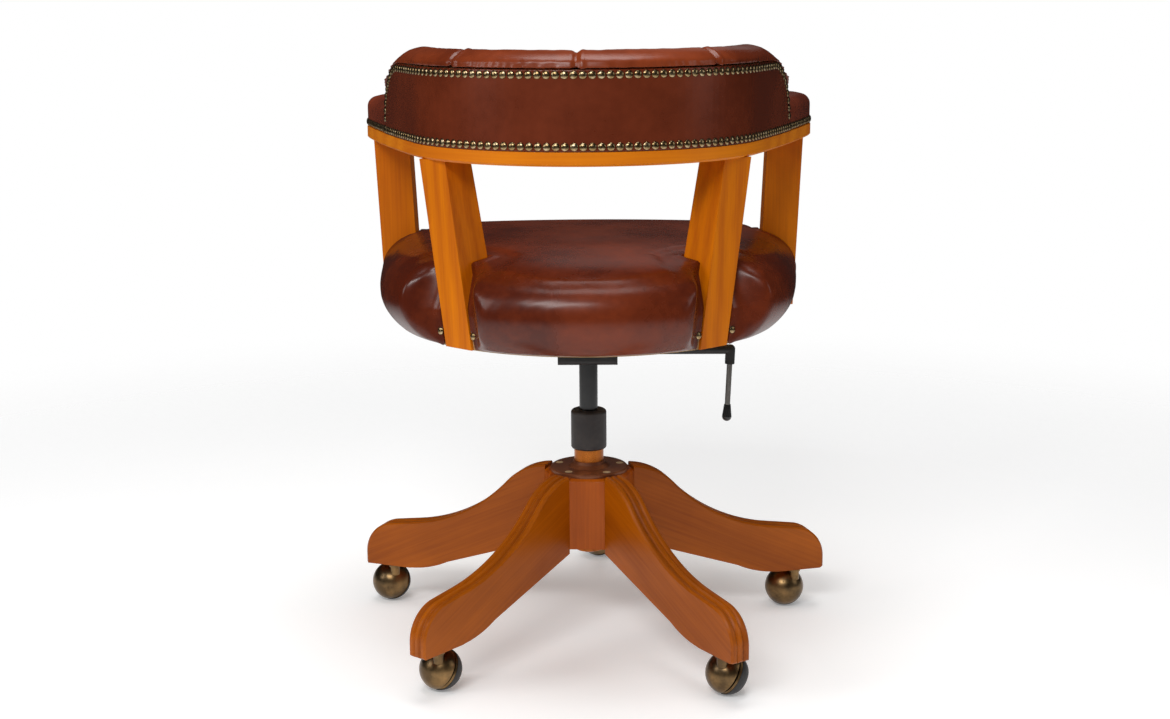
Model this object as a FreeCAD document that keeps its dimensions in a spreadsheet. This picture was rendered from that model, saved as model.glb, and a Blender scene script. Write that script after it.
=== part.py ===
# Bankers swivel chair, in millimetres. It faces -Y, with +Z up and the origin on the floor
# under the swivel axis. "Left" and "right" are the sitter's: left is +X.
import FreeCAD, Part
import math
import os
import re
import Sketcher
from FreeCAD import Matrix, Placement, Rotation, Vector

doc = FreeCAD.newDocument("BankersSwivelChair")

# Driving dimensions
SIZES = [
    ("base_turn", -2.3, "turn of the star base against the seat, degrees"),
    ("ball_radius", 26.5, "castor ball"),
    ("castor_neck", 5, "ball top to the underside of the foot"),
    ("castor_slope", 30, "rise of the wheel axle, degrees"),
    ("castor_side", 12, "ball centre to the stem, along the axle"),
    ("castor_trail", 14, "ball centre to the stem, along the rolling way"),
    ("hood_wall", 2.8, "wall of the castor hood"),
    ("hood_gap", 0.9, "hood rim to the middle plane of the ball"),
    ("wheel_gap", 0.6, "wheel face to the middle plane of the ball"),
    ("tyre_start", 5, "tread band, from the middle plane"),
    ("tyre_width", 14, "tread band, along the axle"),
    ("tyre_depth", 4, "thickness of the tread"),
    ("axle_radius", 3, "castor axle"),
    ("axle_depth", 16, "axle length inside the wheel"),
    ("hood_boss_radius", 6.5, "boss that holds the axle"),
    ("stem_radius", 5.5, "castor stem"),
    ("stem_length", 34, "castor stem above the neck"),
    ("neck_radius", 8, "neck of the hood"),
    ("fit_clearance", 0.05, "radial clearance of a running fit"),
    ("rest_gap", 0.3, "clearance between faces that pass each other"),
    ("stem_inset", 37, "tip of a leg back to its castor stem"),
    ("leg_reach", 329, "swivel axis to the tip of a leg"),
    ("leg_thickness", 27, "thickness of a leg"),
    ("reed_groove", 2.4, "depth of the grooves between the reeds"),
    ("leg_root", 57.4, "swivel axis to the joint of leg and hub"),
    ("leg_rise", 166.5, "underside of the foot to the top of the leg root"),
    ("leg_crest", 87, "radius of the upper curve of the leg"),
    ("leg_sweep", 235, "radius of the lower curve of the leg"),
    ("leg_steepest", 47, "steepest slope of the leg, degrees"),
    ("leg_foot_slope", 8, "slope of the top of the foot, degrees"),
    ("leg_toe", 45, "radius of the rounded toe"),
    ("toe_edge", 4, "straight edge under the toe"),
    ("leg_heel", 262, "swivel axis to the heel of the foot"),
    ("leg_belly", 63, "underside of the foot to the underside of the leg root"),
    ("dowel_radius", 5, "leg dowels"),
    ("dowel_length", 56, "leg dowels"),
    ("dowel_low", 22, "lower dowel above the underside of the hub"),
    ("dowel_spacing", 42, "between the two dowels of a leg"),
    ("hub_lift", 69, "underside of the foot to the underside of the hub"),
    ("hub_height", 94, "height of the hub"),
    ("hub_flat", 54.4, "swivel axis to the faces between the legs"),
    ("hub_chamfer", 6, "chamfer round the top of the hub"),
    ("socket_wall", 1.5, "wall of the castor socket"),
    ("socket_flange", 4, "width of the socket flange"),
    ("flange_radius", 51, "base flange"),
    ("flange_thickness", 5, "base flange"),
    ("flange_neck", 8, "height of the neck on the flange"),
    ("screw_circle", 42, "circle of the flange screws"),
    ("screw_radius", 2.5, "flange screws"),
    ("screw_length", 26, "flange screws"),
    ("tube_radius", 19.25, "lower column tube"),
    ("tube_wall", 2, "lower column tube"),
    ("tube_drop", 15, "lower column tube below the hub"),
    ("tube_end", 6, "closed end of the lower column tube"),
    ("collar_radius", 23.25, "collar"),
    ("collar_lift", 24, "flange to the collar"),
    ("collar_height", 52, "collar"),
    ("collar_roof", 12, "collar above the lower tube"),
    ("bush_height", 60, "guide bush"),
    ("lift_radius", 12, "upper lift tube"),
    ("lift_wall", 2, "upper lift tube"),
    ("lift_down", 65, "how far the seat can sink"),
    ("lift_up", 35, "how far the seat can rise"),
    ("lift_shown", 70, "collar to the tilt housing"),
    ("lift_end", 11, "closed end of the upper lift tube"),
    ("lift_plug", 21, "solid top of the upper lift tube"),
    ("rod_radius", 5, "piston rod"),
    ("piston_height", 12, "piston"),
    ("bearing_radius", 11, "thrust bearing"),
    ("bearing_height", 3.5, "thrust bearing"),
    ("shoulder_radius", 8, "shoulder of the piston rod"),
    ("shoulder_height", 2.5, "shoulder of the piston rod"),
    ("valve_radius", 4, "valve button"),
    ("valve_proud", 4.5, "valve button above the lift tube"),
    ("valve_height", 12.5, "valve button"),
    ("valve_stroke", 4.2, "room for the valve button to travel"),
    ("housing_width", 76, "tilt housing, outside"),
    ("housing_wall", 3, "tilt housing"),
    ("housing_front", 96, "swivel axis to the front of the tilt housing"),
    ("housing_rear", 58, "swivel axis to the rear of the tilt housing"),
    ("housing_tall", 36, "height of the front of the tilt housing"),
    ("housing_low", 15, "height of the rear of the tilt housing"),
    ("housing_shoulder", 24, "height of the tilt housing at the cross shaft"),
    ("socket_radius", 17, "socket of the lift tube in the tilt housing"),
    ("socket_height", 16, "socket of the lift tube in the tilt housing"),
    ("lift_entry", 19, "lift tube above the underside of the tilt housing"),
    ("pivot_y", -45, "tilt pivot, front of the swivel axis"),
    ("pivot_lift", 25, "tilt pivot above the underside of the housing"),
    ("pin_radius", 6, "tilt pivot pin"),
    ("pin_head", 3, "heads of the pivot pin"),
    ("ear_thickness", 3, "ears of the seat plate"),
    ("ear_radius", 13, "ears of the seat plate, round the pin"),
    ("spring_wire", 4.4, "torsion spring wire diameter"),
    ("spring_half", 27, "half the length of the torsion spring"),
    ("spring_turns", 6, "torsion spring"),
    ("spring_leg_slope", 24, "slope of the legs of the torsion spring, degrees"),
    ("plate_lift", 43, "underside of the housing to the seat plate"),
    ("plate_thickness", 3, "seat plate"),
    ("plate_width", 190, "seat plate"),
    ("plate_length", 190, "seat plate"),
    ("seat_screw_radius", 3, "seat screws"),
    ("seat_screw_inset", 14, "seat screws from the edges of the plate"),
    ("lever_y", 24, "cross shaft behind the swivel axis"),
    ("lever_lift", 14, "cross shaft above the underside of the housing"),
    ("lever_radius", 5, "cross shaft inside the housing"),
    ("lever_sleeve", 6.25, "black sleeve of the lever"),
    ("lever_reach", 183, "swivel axis to the hanging part of the lever"),
    ("lever_drop", 19, "cross shaft to the end of the sleeve"),
    ("lever_rod_radius", 3.5, "steel rod of the lever"),
    ("lever_rod_length", 70, "steel rod of the lever"),
    ("lever_knob_length", 22, "knob of the lever"),
    ("lever_knob_radius", 6.2, "knob of the lever"),
    ("lever_lean", 2.5, "lean of the hanging part, degrees"),
    ("finger_width", 8, "valve finger on the cross shaft"),
    ("board_thickness", 20, "seat board"),
    ("seat_radius", 235, "round back of the seat, at the board"),
    ("seat_side_radius", 1500, "gentle curve of the seat sides"),
    ("seat_side_turn", 8, "heading where the side leaves the round back, degrees"),
    ("seat_side_end", 1.9, "heading where the side meets the front corner, degrees"),
    ("seat_corner", 90, "front corners of the seat"),
    ("seat_front_turn", 78, "heading where the corner meets the front, degrees"),
    ("board_inset", 9, "leather and padding over the edge of the board"),
    ("cushion_height", 116, "underside of the board to the crown of the seat"),
    ("cushion_bulge", 34, "bulge of the cushion beyond the board"),
    ("cushion_draw_radius", 120, "leather drawn in to the rear uprights"),
    ("cushion_draw_depth", 30, "leather drawn in to the rear uprights"),
    ("cushion_draw_width", 52, "leather drawn in to the rear uprights"),
    ("rail_lift", 225.5, "underside of the board to the arm rail"),
    ("rail_radius", 222, "round back of the arm rail, outside"),
    ("rail_centre", 36, "centre of the round back behind the swivel axis"),
    ("rail_turn", 22, "heading where the arm leaves the round back, degrees"),
    ("arm_radius", 2500, "gentle curve of the arms, outside"),
    ("arm_end", 15.2, "heading where the arm ends, degrees"),
    ("back_end", 18.4, "heading where the back ends, degrees"),
    ("rail_width", 60, "arm rail"),
    ("rail_edge", 16.5, "bare edge of the arm rail"),
    ("rail_thickness", 30, "arm rail"),
    ("rail_chamfer", 2.5, "lower edges of the arm rail"),
    ("leather_step", 3, "rebate that the leather fills"),
    ("arm_pad_height", 43, "bare edge of the rail to the top of an arm pad"),
    ("back_height", 92, "bare edge of the rail to the top of the back frame"),
    ("frame_thickness", 18, "back frame"),
    ("back_corner", 85, "upper front corners of the back frame"),
    ("roll_height", 22, "padded roll above the back frame"),
    ("roll_lip", 5, "roll proud of the outside panel"),
    ("pad_crown", 6, "crown of the inside back"),
    ("post_width", 44, "uprights, along the rail"),
    ("post_depth_top", 42, "rear uprights, across the rail"),
    ("post_depth_foot", 53, "rear uprights, at the seat"),
    ("rear_top_x", 181, "outer face of a rear upright at the rail"),
    ("rear_top_y", 157, "outer face of a rear upright at the rail"),
    ("rear_foot_x", 153, "outer face of a rear upright at the seat"),
    ("rear_foot_y", 170, "outer face of a rear upright at the seat"),
    ("rear_heading", 49, "way a rear upright faces, degrees"),
    ("front_depth", 47, "front uprights, across the rail"),
    ("front_top_x", 287, "outer face of a front upright at the rail"),
    ("front_foot_x", 277, "outer face of a front upright at the seat"),
    ("front_y", -145, "middle of a front upright"),
    ("post_bolt_radius", 3, "bolts of the uprights"),
    ("post_bolt_length", 50, "bolts of the uprights"),
    ("rail_screw_radius", 2.5, "screws of the arm rail"),
    ("rail_screw_length", 60, "screws of the arm rail"),
]

sheet = doc.addObject("Spreadsheet::Sheet", "Sizes")
for row, (alias, number, note) in enumerate(SIZES, start=1):
    sheet.set(f"A{row}", alias)
    sheet.set(f"B{row}", str(number))
    sheet.set(f"C{row}", note)
    sheet.setAlias(f"B{row}", alias)
doc.recompute()

# Heights above the floor, as sums of driving dimensions
FOOT = "(2 * ball_radius + castor_neck)"
HUB = f"({FOOT} + hub_lift)"
FLANGE = f"({HUB} + hub_height)"
COLLAR = f"({FLANGE} + flange_thickness + collar_lift)"
COLLAR_TOP = f"({COLLAR} + collar_height)"
HOUSING = f"({COLLAR_TOP} + lift_shown)"
PLATE = f"({HOUSING} + plate_lift)"
BOARD = f"({PLATE} + plate_thickness)"
RAIL = f"({BOARD} + rail_lift)"
EDGE = f"({RAIL} + rail_edge)"
RAIL_TOP = f"({RAIL} + rail_thickness)"
FRAME_TOP = f"({EDGE} + back_height)"

LEG_HEADINGS = [270, 342, 54, 126, 198]
# How each castor happens to stand, in the order of the legs
CASTOR_HEADINGS = [50, 64, 39, 18, 83]

nodes = {}


def sized(text):
    """The expression with each driving dimension spelt as a cell of the sheet."""
    return re.sub(r"\b[a-z]+(?:_[a-z]+)+\b", lambda word: "Sizes." + word.group(0), text)


def value(text):
    return float(sheet.evalExpression(sized(text)))


def bind(item, prop, text):
    item.setExpression(prop, sized(text))


def keep(name, item):
    """Name a finished piece of the chair."""
    item.Label = name
    nodes[name] = item
    return item


def new_body(name):
    return doc.addObject("PartDesign::Body", name)


def sketch_on(body, role, lift=None):
    """An empty sketch on one of the body's own origin planes, raised by lift."""
    plane = next(item for item in body.Origin.OriginFeatures if item.Role == role)
    sketch = body.newObject("Sketcher::SketchObject", body.Name + "Outline")
    sketch.AttachmentSupport = [(plane, "")]
    sketch.MapMode = "FlatFace"
    if lift:
        bind(sketch, "AttachmentOffset.Base.z", lift)
    return sketch


def arc_between(start, end, radius, turn):
    """Circle arc from start to end, at most a half circle; turn is 1 to the left, -1 to the right."""
    chord = end.sub(start)
    rise = math.sqrt(max(radius * radius - chord.Length * chord.Length / 4, 0.0))
    left = Vector(-chord.y, chord.x, 0).normalize()
    centre = start.add(chord.multiply(0.5)).add(left.multiply(turn * rise))
    first, last = (start, end) if turn > 0 else (end, start)
    angles = [math.atan2(point.y - centre.y, point.x - centre.x) for point in (first, last)]
    circle = Part.Circle(centre, Vector(0, 0, 1), radius)
    return Part.ArcOfCircle(circle, angles[0], angles[1])


def outline(sketch, corners):
    """Close an outline through corners (x, y) or (x, y, radius, turn), where the last two
    make the edge that leaves the corner an arc. Every corner and radius follows the sheet."""
    points = [Vector(value(corner[0]), value(corner[1]), 0) for corner in corners]
    count = len(points)
    starts = []
    ends = []
    for index, corner in enumerate(corners):
        start = points[index]
        end = points[(index + 1) % count]
        if len(corner) == 2:
            sketch.addGeometry(Part.LineSegment(start, end), False)
            starts.append(1)
        else:
            sketch.addGeometry(arc_between(start, end, value(corner[2]), corner[3]), False)
            starts.append(1 if corner[3] > 0 else 2)
        ends.append(3 - starts[-1])
    for index in range(count):
        after = (index + 1) % count
        sketch.addConstraint(Sketcher.Constraint("Coincident", index, ends[index], after, starts[after]))
    for index, corner in enumerate(corners):
        for kind, text, number in (
            ("DistanceX", corner[0], points[index].x),
            ("DistanceY", corner[1], points[index].y),
        ):
            made = Sketcher.Constraint(kind, -1, 1, index, starts[index], number)
            bind_constraint(sketch, sketch.addConstraint(made), text)
        if len(corner) == 4:
            made = Sketcher.Constraint("Radius", index, value(corner[2]))
            bind_constraint(sketch, sketch.addConstraint(made), corner[2])


def bind_constraint(sketch, index, text):
    if re.search("[a-z]", text):
        bind(sketch, f"Constraints[{index}]", text)


def turned(name, corners, angle=360):
    """A body turned about its own Z axis from a half section (radius, height)."""
    body = new_body(name)
    sketch = sketch_on(body, "XZ_Plane")
    outline(sketch, corners)
    turn = body.newObject("PartDesign::Revolution", name + "Turn")
    turn.Profile = sketch
    turn.ReferenceAxis = (sketch, ["V_Axis"])
    if angle == 360:
        turn.Angle = 360
    else:
        turn.Midplane = True
        bind(turn, "Angle", angle)
    return body


def padded(name, role, corners, length, lift=None, midplane=False):
    """A body padded from an outline on one of its origin planes."""
    body = new_body(name)
    sketch = sketch_on(body, role, lift)
    outline(sketch, corners)
    pad = body.newObject("PartDesign::Pad", name + "Pad")
    pad.Profile = sketch
    pad.Midplane = midplane
    bind(pad, "Length", length)
    return body


def rod(name, radius, length, axis=Vector(0, 0, 1), base=()):
    """A plain round bar from base along axis."""
    bar = doc.addObject("Part::Cylinder", name)
    bind(bar, "Radius", radius)
    bind(bar, "Height", length)
    bar.Placement = Placement(Vector(0, 0, 0), Rotation(Vector(0, 0, 1), axis))
    for letter, text in zip("xyz", base):
        bind(bar, f"Placement.Base.{letter}", text)
    return bar


def fused(name, *pieces):
    union = doc.addObject("Part::MultiFuse", name)
    union.Shapes = list(pieces)
    union.Refine = True
    return union


def grouped(name, pieces):
    group = doc.addObject("Part::Compound", name)
    group.Links = list(pieces)
    return group


def cut(name, base, *tools):
    """Base less the tools, with a check that they do take something away."""
    trimmed = doc.addObject("Part::Cut", name)
    trimmed.Base = base
    trimmed.Tool = fused(name + "Tools", *tools) if len(tools) > 1 else tools[0]
    doc.recompute()
    if trimmed.Shape.Volume > base.Shape.Volume - 1:
        raise ValueError(f"{name}: nothing was cut")
    return trimmed


def common(name, base, tool):
    shared = doc.addObject("Part::Common", name)
    shared.Base = base
    shared.Tool = tool
    return shared


def about_z(heading, offset=Vector(0, 0, 0)):
    return Placement(offset, Rotation(Vector(0, 0, 1), heading))


def copied(name, source, placement):
    """The same piece again, placed from its drawn position."""
    twin = doc.addObject("Part::Compound", name)
    twin.Links = [source]
    twin.Placement = placement
    return twin


def leg_heading(index):
    return LEG_HEADINGS[index] + value("base_turn")


# Legs. Each is sawn from one board: an ogee from the hub down to a flat foot, rounded at the toe.
# Three reeds run along the whole top edge. They are drawn as three layers of the board whose upper
# edges are chamfered.
INFLECTION_X = "(leg_root - 7.4 + leg_crest * sin(leg_steepest))"
INFLECTION_Z = f"({FOOT} + leg_rise - leg_crest * (1 - cos(leg_steepest)))"
SWEEP_X = f"({INFLECTION_X} + leg_sweep * (sin(leg_steepest) - sin(leg_foot_slope)))"
SWEEP_Z = f"({INFLECTION_Z} - leg_sweep * (cos(leg_foot_slope) - cos(leg_steepest)))"
TOE_X = "(leg_reach - leg_toe * (1 - sin(leg_foot_slope)))"
TOE_Z = f"({SWEEP_Z} - ({TOE_X} - {SWEEP_X}) * tan(leg_foot_slope))"
TIP_Z = f"({TOE_Z} - leg_toe * cos(leg_foot_slope))"
CREST_Z = f"({FOOT} + leg_rise - leg_crest + sqrt(leg_crest * leg_crest - 7.4 * 7.4))"
LEG_OUTLINE = [
    ("leg_root", f"{FOOT} + leg_belly"),
    ("leg_heel - 58", f"{FOOT} + 15", "140", 1),
    ("leg_heel - 4", f"{FOOT} + 0.6"),
    ("leg_heel", FOOT),
    ("leg_reach - 2", FOOT),
    ("leg_reach", f"{FOOT} + 2"),
    ("leg_reach", TIP_Z, "leg_toe", 1),
    (TOE_X, TOE_Z),
    (SWEEP_X, SWEEP_Z, "leg_sweep", -1),
    (INFLECTION_X, INFLECTION_Z, "leg_crest", 1),
    ("leg_root", CREST_Z),
]


def reed_layer(name, offset):
    """One of the three layers of a leg, with both upper edges chamfered."""
    layer = padded(name, "XZ_Plane", LEG_OUTLINE, "leg_thickness / 3", lift=offset, midplane=True)
    doc.recompute()
    crest = []
    for index, edge in enumerate(layer.Shape.Edges, start=1):
        middle = edge.valueAt((edge.FirstParameter + edge.LastParameter) / 2)
        along = edge.BoundBox.YLength < 0.01
        over = middle.x > value("leg_root") + 1 and middle.z > value(FOOT) + 1
        under = middle.z < value(f"{FOOT} + leg_belly") and middle.x < value("leg_reach") - 20
        if along and over and not under:
            crest.append(index)
        elif along and over and middle.z > value(f"{SWEEP_Z} - 60") and middle.x > value("leg_reach - leg_toe"):
            crest.append(index)
    dressed = doc.addObject("Part::Chamfer", name + "Reed")
    dressed.Base = layer
    groove = value("reed_groove")
    dressed.Edges = [(index, groove, groove) for index in crest]
    return dressed


layers = [reed_layer(f"LegLayer{step + 2}", f"{step} * leg_thickness / 3") for step in (-1, 0, 1)]
leg_blank = fused("LegBlank", *layers)
dowel_heights = [f"{HUB} + dowel_low", f"{HUB} + dowel_low + dowel_spacing"]
leg_dowel_pair = [
    rod(f"Dowel{index}", "dowel_radius", "dowel_length", Vector(1, 0, 0),
        ("leg_root - dowel_length / 2", "0", height))
    for index, height in enumerate(dowel_heights, start=1)
]
socket_bore = rod("SocketBore", "stem_radius + fit_clearance + socket_wall", "stem_length + 3",
                  base=("(leg_reach - stem_inset)", "0", FOOT))
leg_drilled = cut("LegDrilled", leg_blank, *leg_dowel_pair, socket_bore)
for index in range(len(LEG_HEADINGS)):
    keep(f"leg_{index + 1}", copied(f"Leg{index + 1}", leg_drilled, about_z(leg_heading(index))))

dowels = [
    copied(f"LegDowels{index + 1}", pin, about_z(leg_heading(index)))
    for index in range(len(LEG_HEADINGS))
    for pin in leg_dowel_pair
]
keep("leg_dowels", grouped("LegDowels", dowels))

# Castor sockets: flanged steel sleeves let into the feet.
SLEEVE = "(stem_radius + fit_clearance)"
socket = turned("CastorSocket", [
    (SLEEVE, f"{FOOT} - socket_wall"),
    (f"{SLEEVE} + socket_wall + socket_flange", f"{FOOT} - socket_wall"),
    (f"{SLEEVE} + socket_wall + socket_flange", FOOT),
    (f"{SLEEVE} + socket_wall", FOOT),
    (f"{SLEEVE} + socket_wall", f"{FOOT} + stem_length + 3"),
    (SLEEVE, f"{FOOT} + stem_length + 3"),
])


def on_stem(index):
    """Placement of a castor piece that is drawn about its own stem."""
    heading = math.radians(leg_heading(index))
    reach = value("leg_reach - stem_inset")
    return Vector(reach * math.cos(heading), reach * math.sin(heading), 0)


keep("castor_sockets", grouped("CastorSockets", [
    copied(f"Socket{index + 1}", socket, about_z(0, on_stem(index))) for index in range(len(LEG_HEADINGS))
]))

# Hub: a ten-sided block, five faces for the legs and five between them, chamfered round the top.
hub = new_body("HubBlock")
hub_sketch = sketch_on(hub, "XY_Plane", HUB)
hub_corners = []
for heading in sorted(LEG_HEADINGS):
    for side in (-1, 1):
        hub_corners.append((
            f"leg_root * cos({heading}) - {side} * leg_thickness / 2 * sin({heading})",
            f"leg_root * sin({heading}) + {side} * leg_thickness / 2 * cos({heading})",
        ))
outline(hub_sketch, hub_corners)
hub_pad = hub.newObject("PartDesign::Pad", "HubPad")
hub_pad.Profile = hub_sketch
bind(hub_pad, "Length", "hub_height")
doc.recompute()
hub_bevel = hub.newObject("PartDesign::Chamfer", "HubBevel")
hub_top = [
    f"Edge{index}" for index, edge in enumerate(hub_pad.Shape.Edges, start=1)
    if edge.BoundBox.ZMin > value(FLANGE) - 0.1
]
hub_bevel.Base = (hub_pad, hub_top)
bind(hub_bevel, "Size", "hub_chamfer / 2")
hub.Placement = about_z(value("base_turn"))
column_bore = rod("ColumnBore", "tube_radius", "hub_height + 2", base=("0", "0", f"{HUB} - 1"))

# Base flange with its neck, and the countersunk screws that hold it on the hub.
flange_blank = turned("FlangeBlank", [
    ("tube_radius", FLANGE),
    ("flange_radius", FLANGE),
    ("flange_radius", f"{FLANGE} + flange_thickness - 1.5"),
    ("flange_radius - 1.5", f"{FLANGE} + flange_thickness"),
    ("tube_radius + 8", f"{FLANGE} + flange_thickness"),
    ("tube_radius + 2.5", f"{FLANGE} + flange_thickness + flange_neck * 0.5"),
    ("tube_radius + 1.5", f"{FLANGE} + flange_thickness + flange_neck"),
    ("tube_radius", f"{FLANGE} + flange_thickness + flange_neck"),
])
flange_screw = turned("FlangeScrew", [
    ("0", f"{FLANGE} + flange_thickness - screw_length"),
    ("screw_radius", f"{FLANGE} + flange_thickness - screw_length + screw_radius"),
    ("screw_radius", f"{FLANGE} + flange_thickness - screw_radius"),
    ("screw_radius * 2", f"{FLANGE} + flange_thickness"),
    ("0", f"{FLANGE} + flange_thickness"),
])
flange_screws = []
for index in range(len(LEG_HEADINGS)):
    turn = math.radians(leg_heading(index))
    reach = value("screw_circle")
    spot = Vector(reach * math.cos(turn), reach * math.sin(turn), 0)
    flange_screws.append(copied(f"FlangeScrew{index + 1}", flange_screw, about_z(0, spot)))
screws = keep("flange_screws", grouped("FlangeScrews", flange_screws))
keep("base_flange", cut("BaseFlange", flange_blank, screws))
keep("base_hub", cut("BaseHub", hub, column_bore, nodes["leg_dowels"], screws))

# Lower column tube, closed at the bottom, with the collar, the guide bush and the thrust bearing.
TUBE_FOOT = f"({HUB} - tube_drop)"
TUBE_FLOOR = f"({TUBE_FOOT} + tube_end)"
TUBE_TOP = f"({COLLAR_TOP} - collar_roof)"
BORE = "(tube_radius - tube_wall)"
keep("column_tube", turned("ColumnTube", [
    ("rod_radius + fit_clearance", TUBE_FOOT),
    ("tube_radius - 1", TUBE_FOOT),
    ("tube_radius", f"{TUBE_FOOT} + 1"),
    ("tube_radius", TUBE_TOP),
    (BORE, TUBE_TOP),
    (BORE, TUBE_FLOOR),
    ("rod_radius + fit_clearance", TUBE_FLOOR),
]))
keep("column_collar", turned("ColumnCollar", [
    ("tube_radius", COLLAR),
    ("collar_radius - 3", COLLAR, "3", 1),
    ("collar_radius", f"{COLLAR} + 3"),
    ("collar_radius", f"{COLLAR_TOP} - 4", "4", 1),
    ("collar_radius - 4", COLLAR_TOP),
    ("lift_radius + 2 * fit_clearance", COLLAR_TOP),
    ("lift_radius + 2 * fit_clearance", TUBE_TOP),
    ("tube_radius", TUBE_TOP),
]))
keep("guide_bush", turned("GuideBush", [
    ("lift_radius + fit_clearance", f"{TUBE_TOP} - bush_height"),
    (BORE, f"{TUBE_TOP} - bush_height"),
    (BORE, TUBE_TOP),
    ("lift_radius + fit_clearance", TUBE_TOP),
]))
keep("thrust_bearing", turned("ThrustBearing", [
    ("rod_radius + 2 * fit_clearance", TUBE_FLOOR),
    ("bearing_radius", TUBE_FLOOR),
    ("bearing_radius", f"{TUBE_FLOOR} + bearing_height"),
    ("rod_radius + 2 * fit_clearance", f"{TUBE_FLOOR} + bearing_height"),
]))

# Piston rod. It turns in the closed end of the tube and stays at one height.
SHOULDER = f"({TUBE_FLOOR} + bearing_height + fit_clearance)"
LIFT_FOOT = f"({SHOULDER} + shoulder_height + 1 + lift_down)"
PISTON = f"({LIFT_FOOT} + lift_end + lift_up + 1)"
keep("piston_rod", turned("PistonRod", [
    ("0", f"{TUBE_FOOT} - 4"),
    ("shoulder_radius", f"{TUBE_FOOT} - 4"),
    ("shoulder_radius", f"{TUBE_FOOT} - fit_clearance"),
    ("rod_radius", f"{TUBE_FOOT} - fit_clearance"),
    ("rod_radius", SHOULDER),
    ("shoulder_radius", SHOULDER),
    ("shoulder_radius", f"{SHOULDER} + shoulder_height"),
    ("rod_radius", f"{SHOULDER} + shoulder_height"),
    ("rod_radius", PISTON),
    ("lift_radius - lift_wall - fit_clearance", PISTON),
    ("lift_radius - lift_wall - fit_clearance", f"{PISTON} + piston_height"),
    ("0", f"{PISTON} + piston_height"),
]))

# Upper lift tube, which carries the seat, and the valve button in its top.
LIFT_TOP = f"({HOUSING} + lift_entry)"
VALVE_SEAT = f"({LIFT_TOP} + valve_proud - valve_height - valve_stroke)"
keep("lift_tube", turned("LiftTube", [
    ("rod_radius + fit_clearance", LIFT_FOOT),
    ("lift_radius", LIFT_FOOT),
    ("lift_radius", LIFT_TOP),
    ("valve_radius + fit_clearance", LIFT_TOP),
    ("valve_radius + fit_clearance", VALVE_SEAT),
    ("0", VALVE_SEAT),
    ("0", f"{LIFT_TOP} - lift_plug"),
    ("lift_radius - lift_wall", f"{LIFT_TOP} - lift_plug"),
    ("lift_radius - lift_wall", f"{LIFT_FOOT} + lift_end"),
    ("rod_radius + fit_clearance", f"{LIFT_FOOT} + lift_end"),
]))
keep("valve_button", turned("ValveButton", [
    ("0", f"{LIFT_TOP} + valve_proud - valve_height"),
    ("valve_radius", f"{LIFT_TOP} + valve_proud - valve_height"),
    ("valve_radius", f"{LIFT_TOP} + valve_proud - 1"),
    ("valve_radius - 1", f"{LIFT_TOP} + valve_proud"),
    ("0", f"{LIFT_TOP} + valve_proud"),
]))

# Tilt housing: a pressed steel tray, tall in front for the pivot pin and low behind.
PIVOT_Z = f"({HOUSING} + pivot_lift)"
LEVER_Z = f"({HOUSING} + lever_lift)"
tray = padded("HousingTray", "YZ_Plane", [
    ("-housing_front + 8", HOUSING, "8", -1),
    ("-housing_front", f"{HOUSING} + 8"),
    ("-housing_front", f"{HOUSING} + housing_tall"),
    ("pivot_y + ear_radius", f"{HOUSING} + housing_tall"),
    ("lever_y - 10", f"{HOUSING} + housing_shoulder"),
    ("lever_y + 10", f"{HOUSING} + housing_shoulder"),
    ("housing_rear", f"{HOUSING} + housing_low"),
    ("housing_rear", f"{HOUSING} + 6", "6", -1),
    ("housing_rear - 6", HOUSING),
], "housing_width", midplane=True)
hollow = doc.addObject("Part::Box", "HousingHollow")
bind(hollow, "Length", "housing_width - 2 * housing_wall")
bind(hollow, "Width", "housing_front + housing_rear - 2 * housing_wall")
bind(hollow, "Height", "housing_tall")
bind(hollow, "Placement.Base.x", "housing_wall - housing_width / 2")
bind(hollow, "Placement.Base.y", "housing_wall - housing_front")
bind(hollow, "Placement.Base.z", f"{HOUSING} + housing_wall")
lift_socket = rod("LiftSocket", "socket_radius", "socket_height", base=("0", "0", HOUSING))
lift_bore = rod("LiftBore", "lift_radius", "socket_height + 2", base=("0", "0", f"{HOUSING} - 1"))
ACROSS = Vector(1, 0, 0)
pin_bore = rod("PinBore", "pin_radius", "housing_width + 2", ACROSS,
               ("-housing_width / 2 - 1", "pivot_y", PIVOT_Z))
lever_bore = rod("LeverBore", "lever_radius + fit_clearance", "housing_width + 2", ACROSS,
                 ("-housing_width / 2 - 1", "lever_y", LEVER_Z))
opened = cut("HousingOpened", tray, hollow)
keep("tilt_housing", cut("TiltHousing", fused("HousingSocketed", opened, lift_socket),
                         lift_bore, pin_bore, lever_bore))

# Pivot pin, riveted over outside the ears of the seat plate.
EAR_IN = "(housing_width / 2 + rest_gap)"
EAR_OUT = f"({EAR_IN} + ear_thickness)"
pin = turned("PivotPin", [
    ("0", f"-{EAR_OUT} - rest_gap - pin_head"),
    ("pin_radius + 2", f"-{EAR_OUT} - rest_gap - pin_head"),
    ("pin_radius + 2", f"-{EAR_OUT} - rest_gap"),
    ("pin_radius", f"-{EAR_OUT} - rest_gap"),
    ("pin_radius", f"{EAR_OUT} + rest_gap"),
    ("pin_radius + 2", f"{EAR_OUT} + rest_gap"),
    ("pin_radius + 2", f"{EAR_OUT} + rest_gap + pin_head"),
    ("0", f"{EAR_OUT} + rest_gap + pin_head"),
])
pin.Placement = Placement(Vector(0, value("pivot_y"), value(PIVOT_Z)), Rotation(Vector(0, 1, 0), 90))
keep("pivot_pin", pin)

# Torsion spring wound round the pin. Its long leg lifts the seat plate from below, behind the pin, and
# its short leg lies on the floor of the housing in front. The wire is drawn as an eight-sided bar.
WIRE_SIDES = 8
STEPS_A_TURN = 12


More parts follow.
